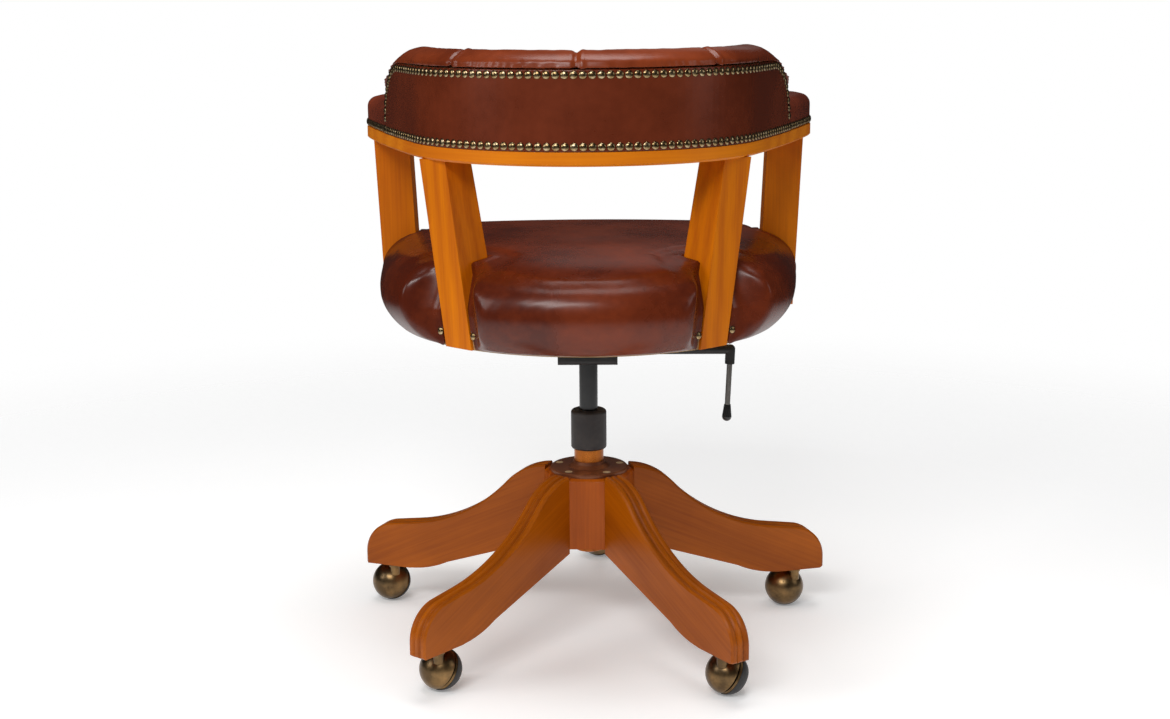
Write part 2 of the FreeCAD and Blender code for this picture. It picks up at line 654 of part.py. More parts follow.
def spring_line():
    """Middle line of the wire: points along the spring, seen in its own frame (along, y, z)."""
    radius = value("pin_radius + spring_wire / 2 + fit_clearance") / math.cos(math.pi / STEPS_A_TURN)
    half = value("spring_half")
    slope = math.radians(value("spring_leg_slope"))
    turns = int(value("spring_turns"))
    steps = turns * STEPS_A_TURN
    flat = value("spring_wire / 2") * math.cos(math.pi / WIRE_SIDES)
    to_floor = value("pivot_lift - housing_wall") - (radius + flat) * math.cos(slope)
    to_plate = value("plate_lift - pivot_lift") + (radius - flat) * math.cos(slope)
    points = []
    for step in range(steps + 1):
        angle = slope - math.pi / 2 + 2 * math.pi * step / STEPS_A_TURN
        along = -half + 2 * half * step / steps
        points.append(Vector(along, radius * math.cos(angle), radius * math.sin(angle)))
    way = Vector(0, math.cos(slope), math.sin(slope))
    first = points[0].sub(Vector(way).multiply(to_floor / math.sin(slope)))
    last = points[-1].add(Vector(way).multiply(to_plate / math.sin(slope)))
    return [first] + points + [last]


def bar_along(points, radius, sides):
    """A solid bar with flat sides along a line of points, its ends square."""
    rings = []
    for index, point in enumerate(points):
        before = points[max(index - 1, 0)]
        after = points[min(index + 1, len(points) - 1)]
        way = after.sub(before).normalize()
        aside = way.cross(Vector(1, 0, 0)).normalize()
        over = way.cross(aside).normalize()
        ring = []
        for side in range(sides):
            angle = 2 * math.pi * (side + 0.5) / sides
            reach = Vector(aside).multiply(radius * math.cos(angle))
            ring.append(point.add(reach).add(Vector(over).multiply(radius * math.sin(angle))))
        rings.append(ring)
    faces = []
    for ring, following in zip(rings, rings[1:]):
        for side in range(sides):
            beside = (side + 1) % sides
            for corners in (
                (ring[side], ring[beside], following[beside]),
                (ring[side], following[beside], following[side]),
            ):
                faces.append(Part.Face(Part.makePolygon([*corners, corners[0]])))
    for ring in (rings[0], rings[-1]):
        faces.append(Part.Face(Part.makePolygon([*ring, ring[0]])))
    solid = Part.Solid(Part.makeShell(faces))
    if solid.Volume < 0:
        solid.reverse()
    return solid


spring = doc.addObject("Part::Feature", "TiltSpring")
spring.Shape = bar_along(spring_line(), value("spring_wire / 2"), WIRE_SIDES)
spring.Placement = Placement(Vector(0, value("pivot_y"), value(PIVOT_Z)), Rotation())
keep("tilt_spring", spring)

# Seat plate: a flat plate under the board with two ears that hang outside the housing.
plate = doc.addObject("Part::Box", "PlateSheet")
bind(plate, "Length", "plate_width")
bind(plate, "Width", "plate_length")
bind(plate, "Height", "plate_thickness")
bind(plate, "Placement.Base.x", "-plate_width / 2")
bind(plate, "Placement.Base.y", "-plate_length / 2")
bind(plate, "Placement.Base.z", PLATE)
ears = [
    padded(f"PlateEar{side}", "YZ_Plane", [
        ("pivot_y - ear_radius", PIVOT_Z, "ear_radius", 1),
        ("pivot_y", f"{PIVOT_Z} - ear_radius", "ear_radius", 1),
        ("pivot_y + ear_radius", PIVOT_Z),
        ("pivot_y + ear_radius + 14", f"{PLATE} + plate_thickness / 2"),
        ("pivot_y - ear_radius - 14", f"{PLATE} + plate_thickness / 2"),
    ], "ear_thickness", lift=lift)
    for side, lift in (("Left", EAR_IN), ("Right", f"-{EAR_OUT}"))
]
ear_bore = rod("EarBore", "pin_radius + fit_clearance", f"2 * {EAR_OUT} + 2", ACROSS,
               (f"-{EAR_OUT} - 1", "pivot_y", PIVOT_Z))
seat_screw = turned("SeatScrew", [
    ("0", f"{PLATE} - 4"),
    ("seat_screw_radius * 2 - 1", f"{PLATE} - 4"),
    ("seat_screw_radius * 2", f"{PLATE} - 3"),
    ("seat_screw_radius * 2", PLATE),
    ("seat_screw_radius", PLATE),
    ("seat_screw_radius", f"{BOARD} + board_thickness - 5"),
    ("0", f"{BOARD} + board_thickness - 2"),
])
seat_screw_spots = [
    Vector(side_x * value("plate_width / 2 - seat_screw_inset"),
           side_y * value("plate_length / 2 - seat_screw_inset"), 0)
    for side_x in (-1, 1) for side_y in (-1, 1)
]
seat_screws = keep("seat_screws", grouped("SeatScrews", [
    copied(f"SeatScrew{number}", seat_screw, about_z(0, spot))
    for number, spot in enumerate(seat_screw_spots, start=1)
]))
keep("seat_plate", cut("SeatPlate", fused("PlateWithEars", plate, *ears), ear_bore, seat_screws))

# Lever: a cross shaft with the valve finger welded on it, an elbow with a sleeve, a rod and a knob.
inner_shaft = rod("LeverInner", "lever_radius", "housing_width + 6", ACROSS,
                  ("-housing_width / 2 - 3", "lever_y", LEVER_Z))
outer_shaft = rod("LeverOuter", "lever_sleeve", "lever_reach - housing_width / 2 - 3", ACROSS,
                  ("-lever_reach", "lever_y", LEVER_Z))
elbow = doc.addObject("Part::Sphere", "LeverElbow")
bind(elbow, "Radius", "lever_sleeve")
bind(elbow, "Placement.Base.x", "-lever_reach")
bind(elbow, "Placement.Base.y", "lever_y")
bind(elbow, "Placement.Base.z", LEVER_Z)
VALVE_TOP = f"({LIFT_TOP} + valve_proud)"
finger = padded("ValveFinger", "YZ_Plane", [
    ("lever_y - 4", f"{LEVER_Z} + 2"),
    ("lever_y + 4", f"{LEVER_Z} + 2"),
    ("lever_y + 4", f"{VALVE_TOP} + rest_gap + 4.5"),
    ("-3", f"{VALVE_TOP} + rest_gap + 4.5"),
    ("-3", f"{VALVE_TOP} + rest_gap + 3", "3", 1),
    ("0", f"{VALVE_TOP} + rest_gap", "3", 1),
    ("3", f"{VALVE_TOP} + rest_gap + 3"),
    ("lever_y - 4", f"{VALVE_TOP} + rest_gap + 1"),
], "finger_width", midplane=True)


def hanging(name, corners):
    """A turned piece that hangs from the elbow and leans with it."""
    piece = turned(name, corners)
    lean = Rotation(Vector(0, 1, 0), -value("lever_lean"))
    piece.Placement = Placement(Vector(-value("lever_reach"), value("lever_y"), value(LEVER_Z)), lean)
    return piece


sleeve = hanging("LeverSleeve", [
    ("0", "-lever_drop"),
    ("lever_sleeve", "-lever_drop"),
    ("lever_sleeve", "0"),
    ("0", "0"),
])
keep("lever_shaft", cut("LeverShaft", fused("LeverWelded", inner_shaft, outer_shaft, elbow, sleeve, finger),
                        hanging("LeverRodHole", [
                            ("0", "-lever_drop - 1"),
                            ("lever_rod_radius", "-lever_drop - 1"),
                            ("lever_rod_radius", "-lever_drop + 8"),
                            ("0", "-lever_drop + 8"),
                        ])))
ROD_TIP = "(8 - lever_drop - lever_rod_length)"
keep("lever_rod", hanging("LeverRod", [
    ("0", ROD_TIP),
    ("lever_rod_radius", ROD_TIP),
    ("lever_rod_radius", "-lever_drop + 8"),
    ("0", "-lever_drop + 8"),
]))
keep("lever_knob", hanging("LeverKnob", [
    ("0", f"{ROD_TIP} + 8 - lever_knob_length", "lever_knob_radius", 1),
    ("lever_knob_radius", f"{ROD_TIP} + 8 - lever_knob_length + lever_knob_radius"),
    ("lever_rod_radius + 0.8", f"{ROD_TIP} + 8"),
    ("lever_rod_radius", f"{ROD_TIP} + 8"),
    ("lever_rod_radius", ROD_TIP),
    ("0", ROD_TIP),
]))

# Ball castors. Each is drawn about its stem: the hood lies on the +X side and above, the wheel on the
# other side of an inclined plane through the middle of the ball, so that its tread meets the floor.
tilted = Placement(
    Vector(-value("castor_side"), -value("castor_trail"), value("ball_radius")),
    Rotation(Vector(0, 1, 0), 90 - value("castor_slope")))
HOOD_INSIDE = "(ball_radius - hood_wall)"


def chord(radius, height):
    """Half width of a circle at a height above its centre."""
    return f"sqrt({radius} * {radius} - {height} * {height})"


hood_shell = turned("HoodShell", [
    ("axle_radius", "-hood_gap * 0.2"),
    ("hood_boss_radius", "-hood_gap * 0.2"),
    ("hood_boss_radius", chord(HOOD_INSIDE, "hood_boss_radius"), HOOD_INSIDE, -1),
    (chord(HOOD_INSIDE, "hood_gap"), "hood_gap"),
    (chord("ball_radius", "hood_gap"), "hood_gap", "ball_radius", 1),
    ("0", "ball_radius"),
    ("0", "ball_radius - hood_wall - 2"),
    ("axle_radius", "ball_radius - hood_wall - 2"),
])
hood_shell.Placement = tilted
neck = turned("HoodNeck", [
    ("0", f"{FOOT} - 17"),
    ("neck_radius - 1.5", f"{FOOT} - 17"),
    ("neck_radius - 1.5", f"{FOOT} - 6"),
    ("neck_radius", f"{FOOT} - 5"),
    ("neck_radius", f"{FOOT} - socket_wall - rest_gap"),
    ("stem_radius", f"{FOOT} - socket_wall - rest_gap"),
    ("stem_radius", f"{FOOT} + stem_length - 1"),
    ("stem_radius - 1", f"{FOOT} + stem_length"),
    ("0", f"{FOOT} + stem_length"),
])
hood_whole = fused("CastorHood", hood_shell, neck)
axle = turned("CastorAxle", [
    ("0", "-axle_depth"),
    ("axle_radius", "-axle_depth"),
    ("axle_radius", "ball_radius - hood_wall - 2"),
    ("0", "ball_radius - hood_wall - 2"),
])
axle.Placement = tilted
TYRE_END = "(tyre_start + tyre_width)"
RIM_IN = f"({chord('ball_radius', 'tyre_start')} - tyre_depth)"
RIM_OUT = f"({chord('ball_radius', TYRE_END)} - tyre_depth)"
BARE = "(ball_radius - 0.8)"
wheel = turned("CastorWheel", [
    ("axle_radius + fit_clearance", "-wheel_gap"),
    ("hood_boss_radius + 6", "-wheel_gap"),
    ("hood_boss_radius + 8", "-wheel_gap - 2"),
    (f"{chord(BARE, 'tyre_start')} - 1", "-wheel_gap - 2"),
    (chord(BARE, "tyre_start"), "-tyre_start"),
    (RIM_IN, "-tyre_start"),
    (RIM_OUT, f"-{TYRE_END}"),
    (chord(BARE, TYRE_END), f"-{TYRE_END}", BARE, -1),
    ("0", f"-{BARE}"),
    ("0", "-axle_depth - 0.5"),
    ("axle_radius + fit_clearance", "-axle_depth - 0.5"),
])
wheel.Placement = tilted
tyre = turned("CastorTyre", [
    (RIM_IN, "-tyre_start"),
    (chord("ball_radius", "tyre_start"), "-tyre_start", "ball_radius", -1),
    (chord("ball_radius", TYRE_END), f"-{TYRE_END}"),
    (RIM_OUT, f"-{TYRE_END}"),
])
tyre.Placement = tilted
CASTOR_PIECES = {"hood": hood_whole, "axle": axle, "wheel": wheel, "tyre": tyre}
for index, heading in enumerate(CASTOR_HEADINGS):
    stand = about_z(heading, on_stem(index))
    for part_name, source in CASTOR_PIECES.items():
        name = f"castor_{index + 1}_{part_name}"
        keep(name, copied(name.title().replace("_", ""), source, stand))


# Uprights: straight posts that lean with the flare of the rail. Each is drawn facing +X, with the middle
# of its outer face at the foot on its own Z axis.
def post(name, foot, top, heading, depth_foot, depth_top, mouth=()):
    """A post between two sections. A mouth replaces its outer face by further corners
    (out, aside[, radius, turn]) on one side, which are mirrored on the other."""
    body = new_body(name)
    shift_x = f"(({top[0]} - {foot[0]}) * cos({heading}) + ({top[1]} - {foot[1]}) * sin({heading}))"
    shift_y = f"(({top[1]} - {foot[1]}) * cos({heading}) - ({top[0]} - {foot[0]}) * sin({heading}))"
    sections = []
    for level, depth, slide_x, slide_y in (
        (BOARD, depth_foot, "0", "0"),
        (RAIL, depth_top, shift_x, shift_y),
    ):
        section = sketch_on(body, "XY_Plane", level)
        corners = [(f"{slide_x} - {depth}", f"{slide_y} - post_width / 2")]
        for out, aside, *curve in mouth or [("0", "post_width / 2")]:
            corners.append((f"{slide_x} + {out}", f"{slide_y} - {aside}", *curve))
        for index in range(len(corners) - 1, 0, -1):
            out, aside = (mouth or [("0", "post_width / 2")])[index - 1][:2]
            corners.append((f"{slide_x} + {out}", f"{slide_y} + {aside}", *corners[index - 1][2:]))
        corners.append((f"{slide_x} - {depth}", f"{slide_y} + post_width / 2"))
        outline(section, corners)
        sections.append(section)
    loft = body.newObject("PartDesign::AdditiveLoft", name + "Loft")
    loft.Profile = sections[0]
    loft.Sections = [sections[1]]
    loft.Ruled = True
    body.Placement = about_z(value(heading), Vector(value(foot[0]), value(foot[1]), 0))
    return body


POSTS = [
    ("upright_rear_left", 1, "rear"),
    ("upright_rear_right", -1, "rear"),
    ("upright_front_left", 1, "front"),
    ("upright_front_right", -1, "front"),
]


def post_plan(side, place):
    """Foot, top, heading and depths of an upright on one side of the chair."""
    if place == "rear":
        foot = (f"{side} * rear_foot_x", "rear_foot_y")
        top = (f"{side} * rear_top_x", "rear_top_y")
        heading = "rear_heading" if side > 0 else "180 - rear_heading"
        return foot, top, heading, "post_depth_foot", "post_depth_top"
    foot = (f"{side} * front_foot_x", "front_y")
    top = (f"{side} * front_top_x", "front_y")
    heading = "0" if side > 0 else "180"
    return foot, top, heading, "front_depth", "front_depth"


STRAIGHT_MOUTH = [("80", "post_width / 2")]
DRAWN_MOUTH = [
    ("0", "post_width / 2", "cushion_draw_radius", -1),
    ("cushion_draw_depth", "(post_width / 2 + cushion_draw_width)"),
    ("80", "(post_width / 2 + cushion_draw_width)"),
]
post_bodies = {}
slots = []
bolts = []
rail_screws = []
for name, side, place in POSTS:
    foot, top, heading, depth_foot, depth_top = post_plan(side, place)
    label = name.title().replace("_", "")
    post_bodies[name] = post(label, foot, top, f"({heading})", depth_foot, depth_top)
    mouth = DRAWN_MOUTH if place == "rear" else STRAIGHT_MOUTH
    slots.append(post(label + "Slot", foot, top, f"({heading})", depth_foot, depth_top, mouth))
    turn = math.radians(value(heading))
    bolt_reach = value("post_bolt_length")
    for lift in (6, 14):
        start = Vector(value(foot[0]), value(foot[1]), value(BOARD) + lift)
        start = start.sub(Vector(math.cos(turn), math.sin(turn), 0).multiply(14 + bolt_reach))
        bolt = rod(f"{label}Bolt{lift}", "post_bolt_radius", "post_bolt_length")
        bolt.Placement = Placement(start, Rotation(Vector(0, 0, 1), Vector(math.cos(turn), math.sin(turn), 0)))
        bolts.append(bolt)
    for step in (-1, 1):
        spot = Vector(value(top[0]), value(top[1]), value(f"{RAIL_TOP} - rail_screw_length"))
        inward = Vector(math.cos(turn), math.sin(turn), 0).multiply(-value(depth_top) / 2)
        aside = Vector(-math.sin(turn), math.cos(turn), 0).multiply(step * value("post_width") / 4)
        screw = rod(f"{label}Screw{step + 2}", "rail_screw_radius", "rail_screw_length")
        screw.Placement = Placement(spot.add(inward).add(aside), Rotation())
        rail_screws.append(screw)
post_bolts = keep("upright_bolts", grouped("UprightBolts", bolts))
top_screws = keep("rail_screws", grouped("RailScrews", rail_screws))
for name, body in post_bodies.items():
    keep(name, cut(name.title().replace("_", "") + "Drilled", body, post_bolts, top_screws))


# Seat outline: round behind, gently curved sides, rounded corners and a slightly bowed front.
def seat_wire(inset, level):
    """The outline of the seat at a level, drawn in by inset from the rim of the cushion."""
    rear = value("seat_radius")
    side = value("seat_side_radius")
    corner = value("seat_corner")
    leave = math.radians(value("seat_side_turn"))
    meet = math.radians(value("seat_side_end"))
    front = math.radians(-value("seat_front_turn"))
    side_centre = Vector((rear - side) * math.cos(leave), (rear - side) * math.sin(leave), 0)
    corner_centre = side_centre.add(Vector(math.cos(meet), math.sin(meet), 0).multiply(side - corner))
    bow = corner + corner_centre.x / math.cos(front)
    front_centre = Vector(0, corner_centre.y - (bow - corner) * math.sin(front), 0)
    centre = Vector(0, 0, level)
    arcs = [
        (front_centre, bow, -math.pi - front, front),
        (corner_centre, corner, front, meet),
        (side_centre, side, meet, leave),
        (Vector(0, 0, 0), rear, leave, math.pi / 2),
        (Vector(0, 0, 0), rear, math.pi / 2, math.pi - leave),
        (Vector(-side_centre.x, side_centre.y, 0), side, math.pi - leave, math.pi - meet),
        (Vector(-corner_centre.x, corner_centre.y, 0), corner, math.pi - meet, math.pi - front),
    ]
    scale = (rear - inset) / rear
    edges = []
    for middle, radius, begin, end in arcs:
        circle = Part.Circle(middle.multiply(scale).add(centre), Vector(0, 0, 1), radius * scale)
        edges.append(Part.ArcOfCircle(circle, begin, end).toShape())
    return Part.Wire(edges)


board_blank = doc.addObject("Part::Feature", "BoardBlank")
board_face = Part.Face(seat_wire(value("board_inset"), value(BOARD)))
board_blank.Shape = board_face.extrude(Vector(0, 0, value("board_thickness")))
keep("seat_board", cut("SeatBoard", board_blank, *slots, post_bolts, seat_screws))

# Seat cushion: a sprung drum. It swells out over the board all round and crowns in the middle.
bulge = value("cushion_bulge")
CUSHION_SECTIONS = [
    (0, 0),
    (-0.55 * bulge, 0.12),
    (-0.92 * bulge, 0.3),
    (-bulge, 0.46),
    (-0.86 * bulge, 0.62),
    (-0.45 * bulge, 0.77),
    (0.3 * bulge, 0.88),
    (2 * bulge, 0.955),
    (4.2 * bulge, 0.99),
    (5.6 * bulge, 1),
]
cushion_wires = [
    seat_wire(inset, value(BOARD) + share * value("cushion_height")) for inset, share in CUSHION_SECTIONS
]
cushion_blank = doc.addObject("Part::Feature", "CushionBlank")
cushion_blank.Shape = Part.makeLoft(cushion_wires, True, False)
board_room = doc.addObject("Part::Feature", "BoardRoom")
board_room.Shape = board_face.extrude(Vector(0, 0, value("board_thickness")))
keep("seat_cushion", cut("SeatCushion", cushion_blank, board_room, *slots, post_bolts))

# Arm rail and back. Each is a band of one section that follows the rail: the round back, then the two
# arms, which leave it tangentially.
ARM_CENTRE_X = "((rail_radius - arm_radius) * cos(rail_turn))"
ARM_CENTRE_Y = "(rail_centre + (rail_radius - arm_radius) * sin(rail_turn))"


def band(name, section, end, with_back=True, sides=(1, -1)):
    """A band from a section (inset from the outer edge of the rail, height[, radius, turn])."""
    def radial(radius):
        return [(f"{radius} - ({corner[0]})",) + tuple(corner[1:]) for corner in section]

    pieces = []
    if with_back:
        rear = turned(name + "Rear", radial("rail_radius"), "180 - 2 * rail_turn")
        rear.Placement = about_z(90, Vector(0, value("rail_centre"), 0))
        pieces.append(rear)
    for side in sides:
        start = "rail_turn" if with_back else "(back_end + 0.5)"
        arm = turned(f"{name}Arm{side + 2}", radial("arm_radius"), f"{start} - {end}")
        middle = value(f"({start} + {end}) / 2")
        heading = middle if side > 0 else 180 - middle
        arm.Placement = about_z(heading, Vector(side * value(ARM_CENTRE_X), value(ARM_CENTRE_Y), 0))
        pieces.append(arm)
    return pieces


def tip(name, section, side):
    """The round end of an arm: a half turn of half the section about the middle of the rail."""
    piece = turned(f"{name}Tip{side + 2}", section, "180")
    reach = value("arm_radius - rail_width / 2")
    turn = value("arm_end")
    across = math.radians(turn)
    spot = Vector(side * (value(ARM_CENTRE_X) + reach * math.cos(across)),
                  value(ARM_CENTRE_Y) + reach * math.sin(across), 0)
    piece.Placement = about_z(turn - 90 if side > 0 else 270 - turn, spot)
    return piece


RAIL_SECTION = [
    ("rail_chamfer", RAIL),
    ("0", f"{RAIL} + rail_chamfer"),
    ("0", EDGE),
    ("leather_step", EDGE),
    ("leather_step", RAIL_TOP),
    ("rail_width - leather_step", RAIL_TOP),
    ("rail_width - leather_step", EDGE),
    ("rail_width", EDGE),
    ("rail_width", f"{RAIL} + rail_chamfer"),
    ("rail_width - rail_chamfer", RAIL),
]
HALF = "rail_width / 2"
RAIL_TIP = [
    ("0", RAIL),
    (f"{HALF} - rail_chamfer", RAIL),
    (HALF, f"{RAIL} + rail_chamfer"),
    (HALF, EDGE),
    (f"{HALF} - leather_step", EDGE),
    (f"{HALF} - leather_step", RAIL_TOP),
    ("0", RAIL_TOP),
]
rail_blank = fused("RailBlank", *band("Rail", RAIL_SECTION, "arm_end"),
                   tip("Rail", RAIL_TIP, 1), tip("Rail", RAIL_TIP, -1))
keep("arm_rail", cut("ArmRail", rail_blank, top_screws))

# Arm pads: leather over padding, with a skirt that fills the rebate of the rail.
PAD_TOP = f"({EDGE} + arm_pad_height)"
PAD_SECTION = [
    ("0", EDGE),
    ("0", f"{PAD_TOP} - 14", "16", 1),
    ("12", f"{PAD_TOP} - 2", "60", 1),
    ("rail_width - 12", f"{PAD_TOP} - 2", "16", 1),
    ("rail_width", f"{PAD_TOP} - 14"),
    ("rail_width", EDGE),
    ("rail_width - leather_step", EDGE),
    ("rail_width - leather_step", RAIL_TOP),
    ("leather_step", RAIL_TOP),
    ("leather_step", EDGE),
]
PAD_TIP = [
    (f"{HALF} - leather_step", EDGE),
    (HALF, EDGE),
    (HALF, f"{PAD_TOP} - 14", "16", 1),
    (f"{HALF} - 12", f"{PAD_TOP} - 2"),
    ("0", f"{PAD_TOP} + 0.7"),
    ("0", RAIL_TOP),
    (f"{HALF} - leather_step", RAIL_TOP),
]
BACK_FRONT = f"({ARM_CENTRE_Y} + arm_radius * sin(back_end))"
behind = doc.addObject("Part::Box", "BehindArmPads")
bind(behind, "Length", "4 * rail_radius")
bind(behind, "Width", "rail_width")
bind(behind, "Height", "2 * arm_pad_height")
bind(behind, "Placement.Base.x", "-2 * rail_radius")
bind(behind, "Placement.Base.y", BACK_FRONT)
bind(behind, "Placement.Base.z", f"{EDGE} - 1")
for side, word in ((1, "left"), (-1, "right")):
    label = f"ArmPad{word.title()}"
    whole = fused(label, *band(label, PAD_SECTION, "arm_end", False, (side,)), tip(label, PAD_TIP, side))
    keep(f"arm_pad_{word}", cut(label + "Trimmed", whole, behind))


# Back frame and outside panel. Both are trimmed to a side view with rounded upper front corners.
side_view = padded("BackSideView", "YZ_Plane", [
    (BACK_FRONT, f"{EDGE} - 1"),
    ("rail_centre + rail_radius + 40", f"{EDGE} - 1"),
    ("rail_centre + rail_radius + 40", FRAME_TOP),
    (f"{BACK_FRONT} + back_corner", FRAME_TOP, "back_corner", 1),
    (BACK_FRONT, f"{FRAME_TOP} - back_corner"),
], "4 * rail_radius", midplane=True)
frame_band = fused("FrameBand", *band("Frame", [
    ("leather_step", RAIL_TOP),
    ("leather_step", FRAME_TOP),
    ("leather_step + frame_thickness", FRAME_TOP),
    ("leather_step + frame_thickness", RAIL_TOP),
], "back_end"))
back_frame = keep("back_frame", common("BackFrame", frame_band, side_view))
panel_band = fused("PanelBand", *band("Panel", [
    ("0", EDGE),
    ("0", FRAME_TOP),
    ("leather_step", FRAME_TOP),
    ("leather_step", EDGE),
], "back_end"))
back_panel = keep("back_panel", common("BackPanel", panel_band, side_view))


# Inside back: one long cushion from arm to arm. It stands on the rail, swells towards the sitter and
# rolls over the frame, and its roll grows out of nothing at the front corners.
def back_stations():
    """Where the cushion is drawn: (middle of the rail, way out, stretch across, height share)."""
    middle = value("arm_radius - rail_width / 2")
    centre = Vector(value(ARM_CENTRE_X), value(ARM_CENTRE_Y), 0)
    corner = value("back_corner")
    front = value(BACK_FRONT)
    turn = value("rail_turn")
    rear_y = value("rail_centre + (rail_radius - rail_width / 2) * sin(rail_turn)")
    arm = []
    square = [0.6, 3, 7, 13, 21, 32, 46, 64, corner]
    for run in square + [corner + (rear_y - front - corner) * share for share in (1 / 3, 2 / 3)]:
        heading = math.asin((front + run - centre.y) / middle)
        spot = centre.add(Vector(math.cos(heading), math.sin(heading), 0).multiply(middle))
        lean = math.radians(turn) * max(run - corner, 0) / (rear_y - front - corner)
        arm.append((spot, Vector(math.cos(lean), math.sin(lean), 0), 1 / math.cos(heading - lean), run))
    rear = []
    steps = 15
    for step in range(steps + 1):
        heading = math.radians(turn + (180 - 2 * turn) * step / steps)
        way = Vector(math.cos(heading), math.sin(heading), 0)
        spot = Vector(way).multiply(value("rail_radius - rail_width / 2"))
        rear.append((spot.add(Vector(0, value("rail_centre"), 0)), way, 1, 1000))
    mirrored = [
        (Vector(-spot.x, spot.y, 0), Vector(-way.x, way.y, 0), stretch, run)
        for spot, way, stretch, run in reversed(arm)
    ]
    return arm + rear + mirrored


def corner_rise(run, radius):
    """Height that a rounded corner has reached after a run from its foot."""
    run = min(run, radius)
    return math.sqrt(radius * radius - (radius - run) * (radius - run))


def back_section(spot, way, stretch, run):
    """One closed section of the cushion, in its upright plane."""
    low = value(EDGE)
    corner = value("back_corner")
    roll = value("roll_height")
    foot = value(FRAME_TOP) - corner
    frame = foot + corner_rise(run, corner)
    crown = foot + corner_rise(run, corner + roll)
    rise = crown - frame
    grown = min(1.0, (frame - foot) / 50)
    half = value("rail_width / 2")
    lip = value("roll_lip") * grown
    swell = value("pad_crown") * grown

    def point(inset, height):
        return spot.add(Vector(way).multiply((half - inset) * stretch)).add(Vector(0, 0, height))

    inner_top = low + 0.88 * (frame - low)
    inner = 2 * half + 0.5
    corners = [
        (point(12, low - 4), None, point(inner - 3, low - 4)),
        (point(inner - 3, low - 4), None, point(inner, low + 1)),
        (point(inner, low + 1), point(inner + swell, low + 0.46 * (frame - low)), point(2 * half - 4, inner_top)),
        (point(2 * half - 4, inner_top), point(2 * half - 13, crown - 0.24 * (crown - inner_top)),
         point(half, crown)),
        (point(half, crown), point(0.26 * half, crown - 0.3 * rise), point(-lip - 1, frame + 0.1 * rise)),
        (point(-lip - 1, frame + 0.1 * rise), point(-0.8 * lip - 1, frame + 0.01 * rise),
         point(-1.5, frame - grown)),
        (point(-1.5, frame - grown), None, point(12, frame - grown)),
        (point(12, frame - grown), None, point(12, low - 4)),
    ]
    edges = []
    for start, through, end in corners:
        line = Part.LineSegment(start, end) if through is None else Part.Arc(start, through, end)
        edges.append(line.toShape())
    return Part.Wire(edges)


pad_blank = doc.addObject("Part::Feature", "BackPadBlank")
pad_blank.Shape = Part.makeLoft([back_section(*station) for station in back_stations()], True, False)
keep("back_pad", cut("BackPad", pad_blank, back_frame, back_panel, rail_blank))

doc.recompute()

for item in doc.Objects:
    if "Invalid" in item.State or "Error" in item.State:
        raise ValueError(f"{item.Name} is {item.State}")
os.makedirs("parts", exist_ok=True)
for name, item in nodes.items():
    if item.Shape.isNull() or not item.Shape.isValid() or not item.Shape.Solids:
        raise ValueError(f"{name} has no valid solid")
    item.Shape.exportStep(f"parts/{name}.step")
print(len(nodes), "nodes written")
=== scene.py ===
"""Bankers swivel chair: honey wood arms, posts and five-legged base, brown leather seat, arms and back.

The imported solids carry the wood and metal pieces. The seat, the arm pads and the leather of the back
are built here as stuffed forms, with the dome nails that hold them.
"""

import math

import bpy
import numpy as np
from mathutils import Matrix, Vector
from mathutils.bvhtree import BVHTree


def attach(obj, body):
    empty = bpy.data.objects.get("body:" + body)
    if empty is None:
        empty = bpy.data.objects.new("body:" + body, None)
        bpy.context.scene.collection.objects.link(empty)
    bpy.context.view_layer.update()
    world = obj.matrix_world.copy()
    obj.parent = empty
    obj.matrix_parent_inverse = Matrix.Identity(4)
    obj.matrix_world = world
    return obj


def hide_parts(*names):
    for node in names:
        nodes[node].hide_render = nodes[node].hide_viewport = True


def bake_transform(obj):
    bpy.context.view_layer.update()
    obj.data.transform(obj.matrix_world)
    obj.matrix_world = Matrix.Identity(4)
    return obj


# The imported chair, on which every piece below is dressed or built.
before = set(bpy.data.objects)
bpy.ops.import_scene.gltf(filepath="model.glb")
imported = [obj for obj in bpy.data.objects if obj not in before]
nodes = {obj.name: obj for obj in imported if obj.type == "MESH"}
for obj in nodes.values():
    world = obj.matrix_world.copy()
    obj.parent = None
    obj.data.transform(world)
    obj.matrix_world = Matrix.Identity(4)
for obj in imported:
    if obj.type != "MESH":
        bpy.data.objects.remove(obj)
scene = bpy.context.scene
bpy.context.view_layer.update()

# Camera: the photo's own view, from behind the chair and a little above the seat.
# It looks along -Y, dips twelve degrees and is turned one degree, as the chair stood in the photo.
CAMERA_PLACE = (0.00428, 2.2296, 0.8379)
CAMERA_DIP = 0.2077
CAMERA_ROLL = -0.0076
CAMERA_TURN = 0.017
CAMERA_LENS = 53.86

forward = Vector((0, -math.cos(CAMERA_DIP), -math.sin(CAMERA_DIP)))
level = Vector((-1, 0, 0))
down = Vector((0, math.sin(CAMERA_DIP), -math.cos(CAMERA_DIP)))
right = level * math.cos(CAMERA_ROLL) - down * math.sin(CAMERA_ROLL)
below = level * math.sin(CAMERA_ROLL) + down * math.cos(CAMERA_ROLL)
facing = Matrix((right, -below, -forward)).transposed().to_4x4()
camera_data = bpy.data.cameras.new("photo_camera")
camera_data.sensor_width = 36
camera_data.lens = CAMERA_LENS
camera = bpy.data.objects.new("photo_camera", camera_data)
scene.collection.objects.link(camera)
camera.matrix_world = (
    Matrix.Rotation(CAMERA_TURN, 4, "Z") @ Matrix.Translation(CAMERA_PLACE) @ facing
)
scene.camera = camera

# Studio: large soft lamps in a white room, as in the photo.
# The key stands high behind the camera, one box hangs overhead, and weaker ones fill the other sides.
scene.view_settings.view_transform = "Standard"


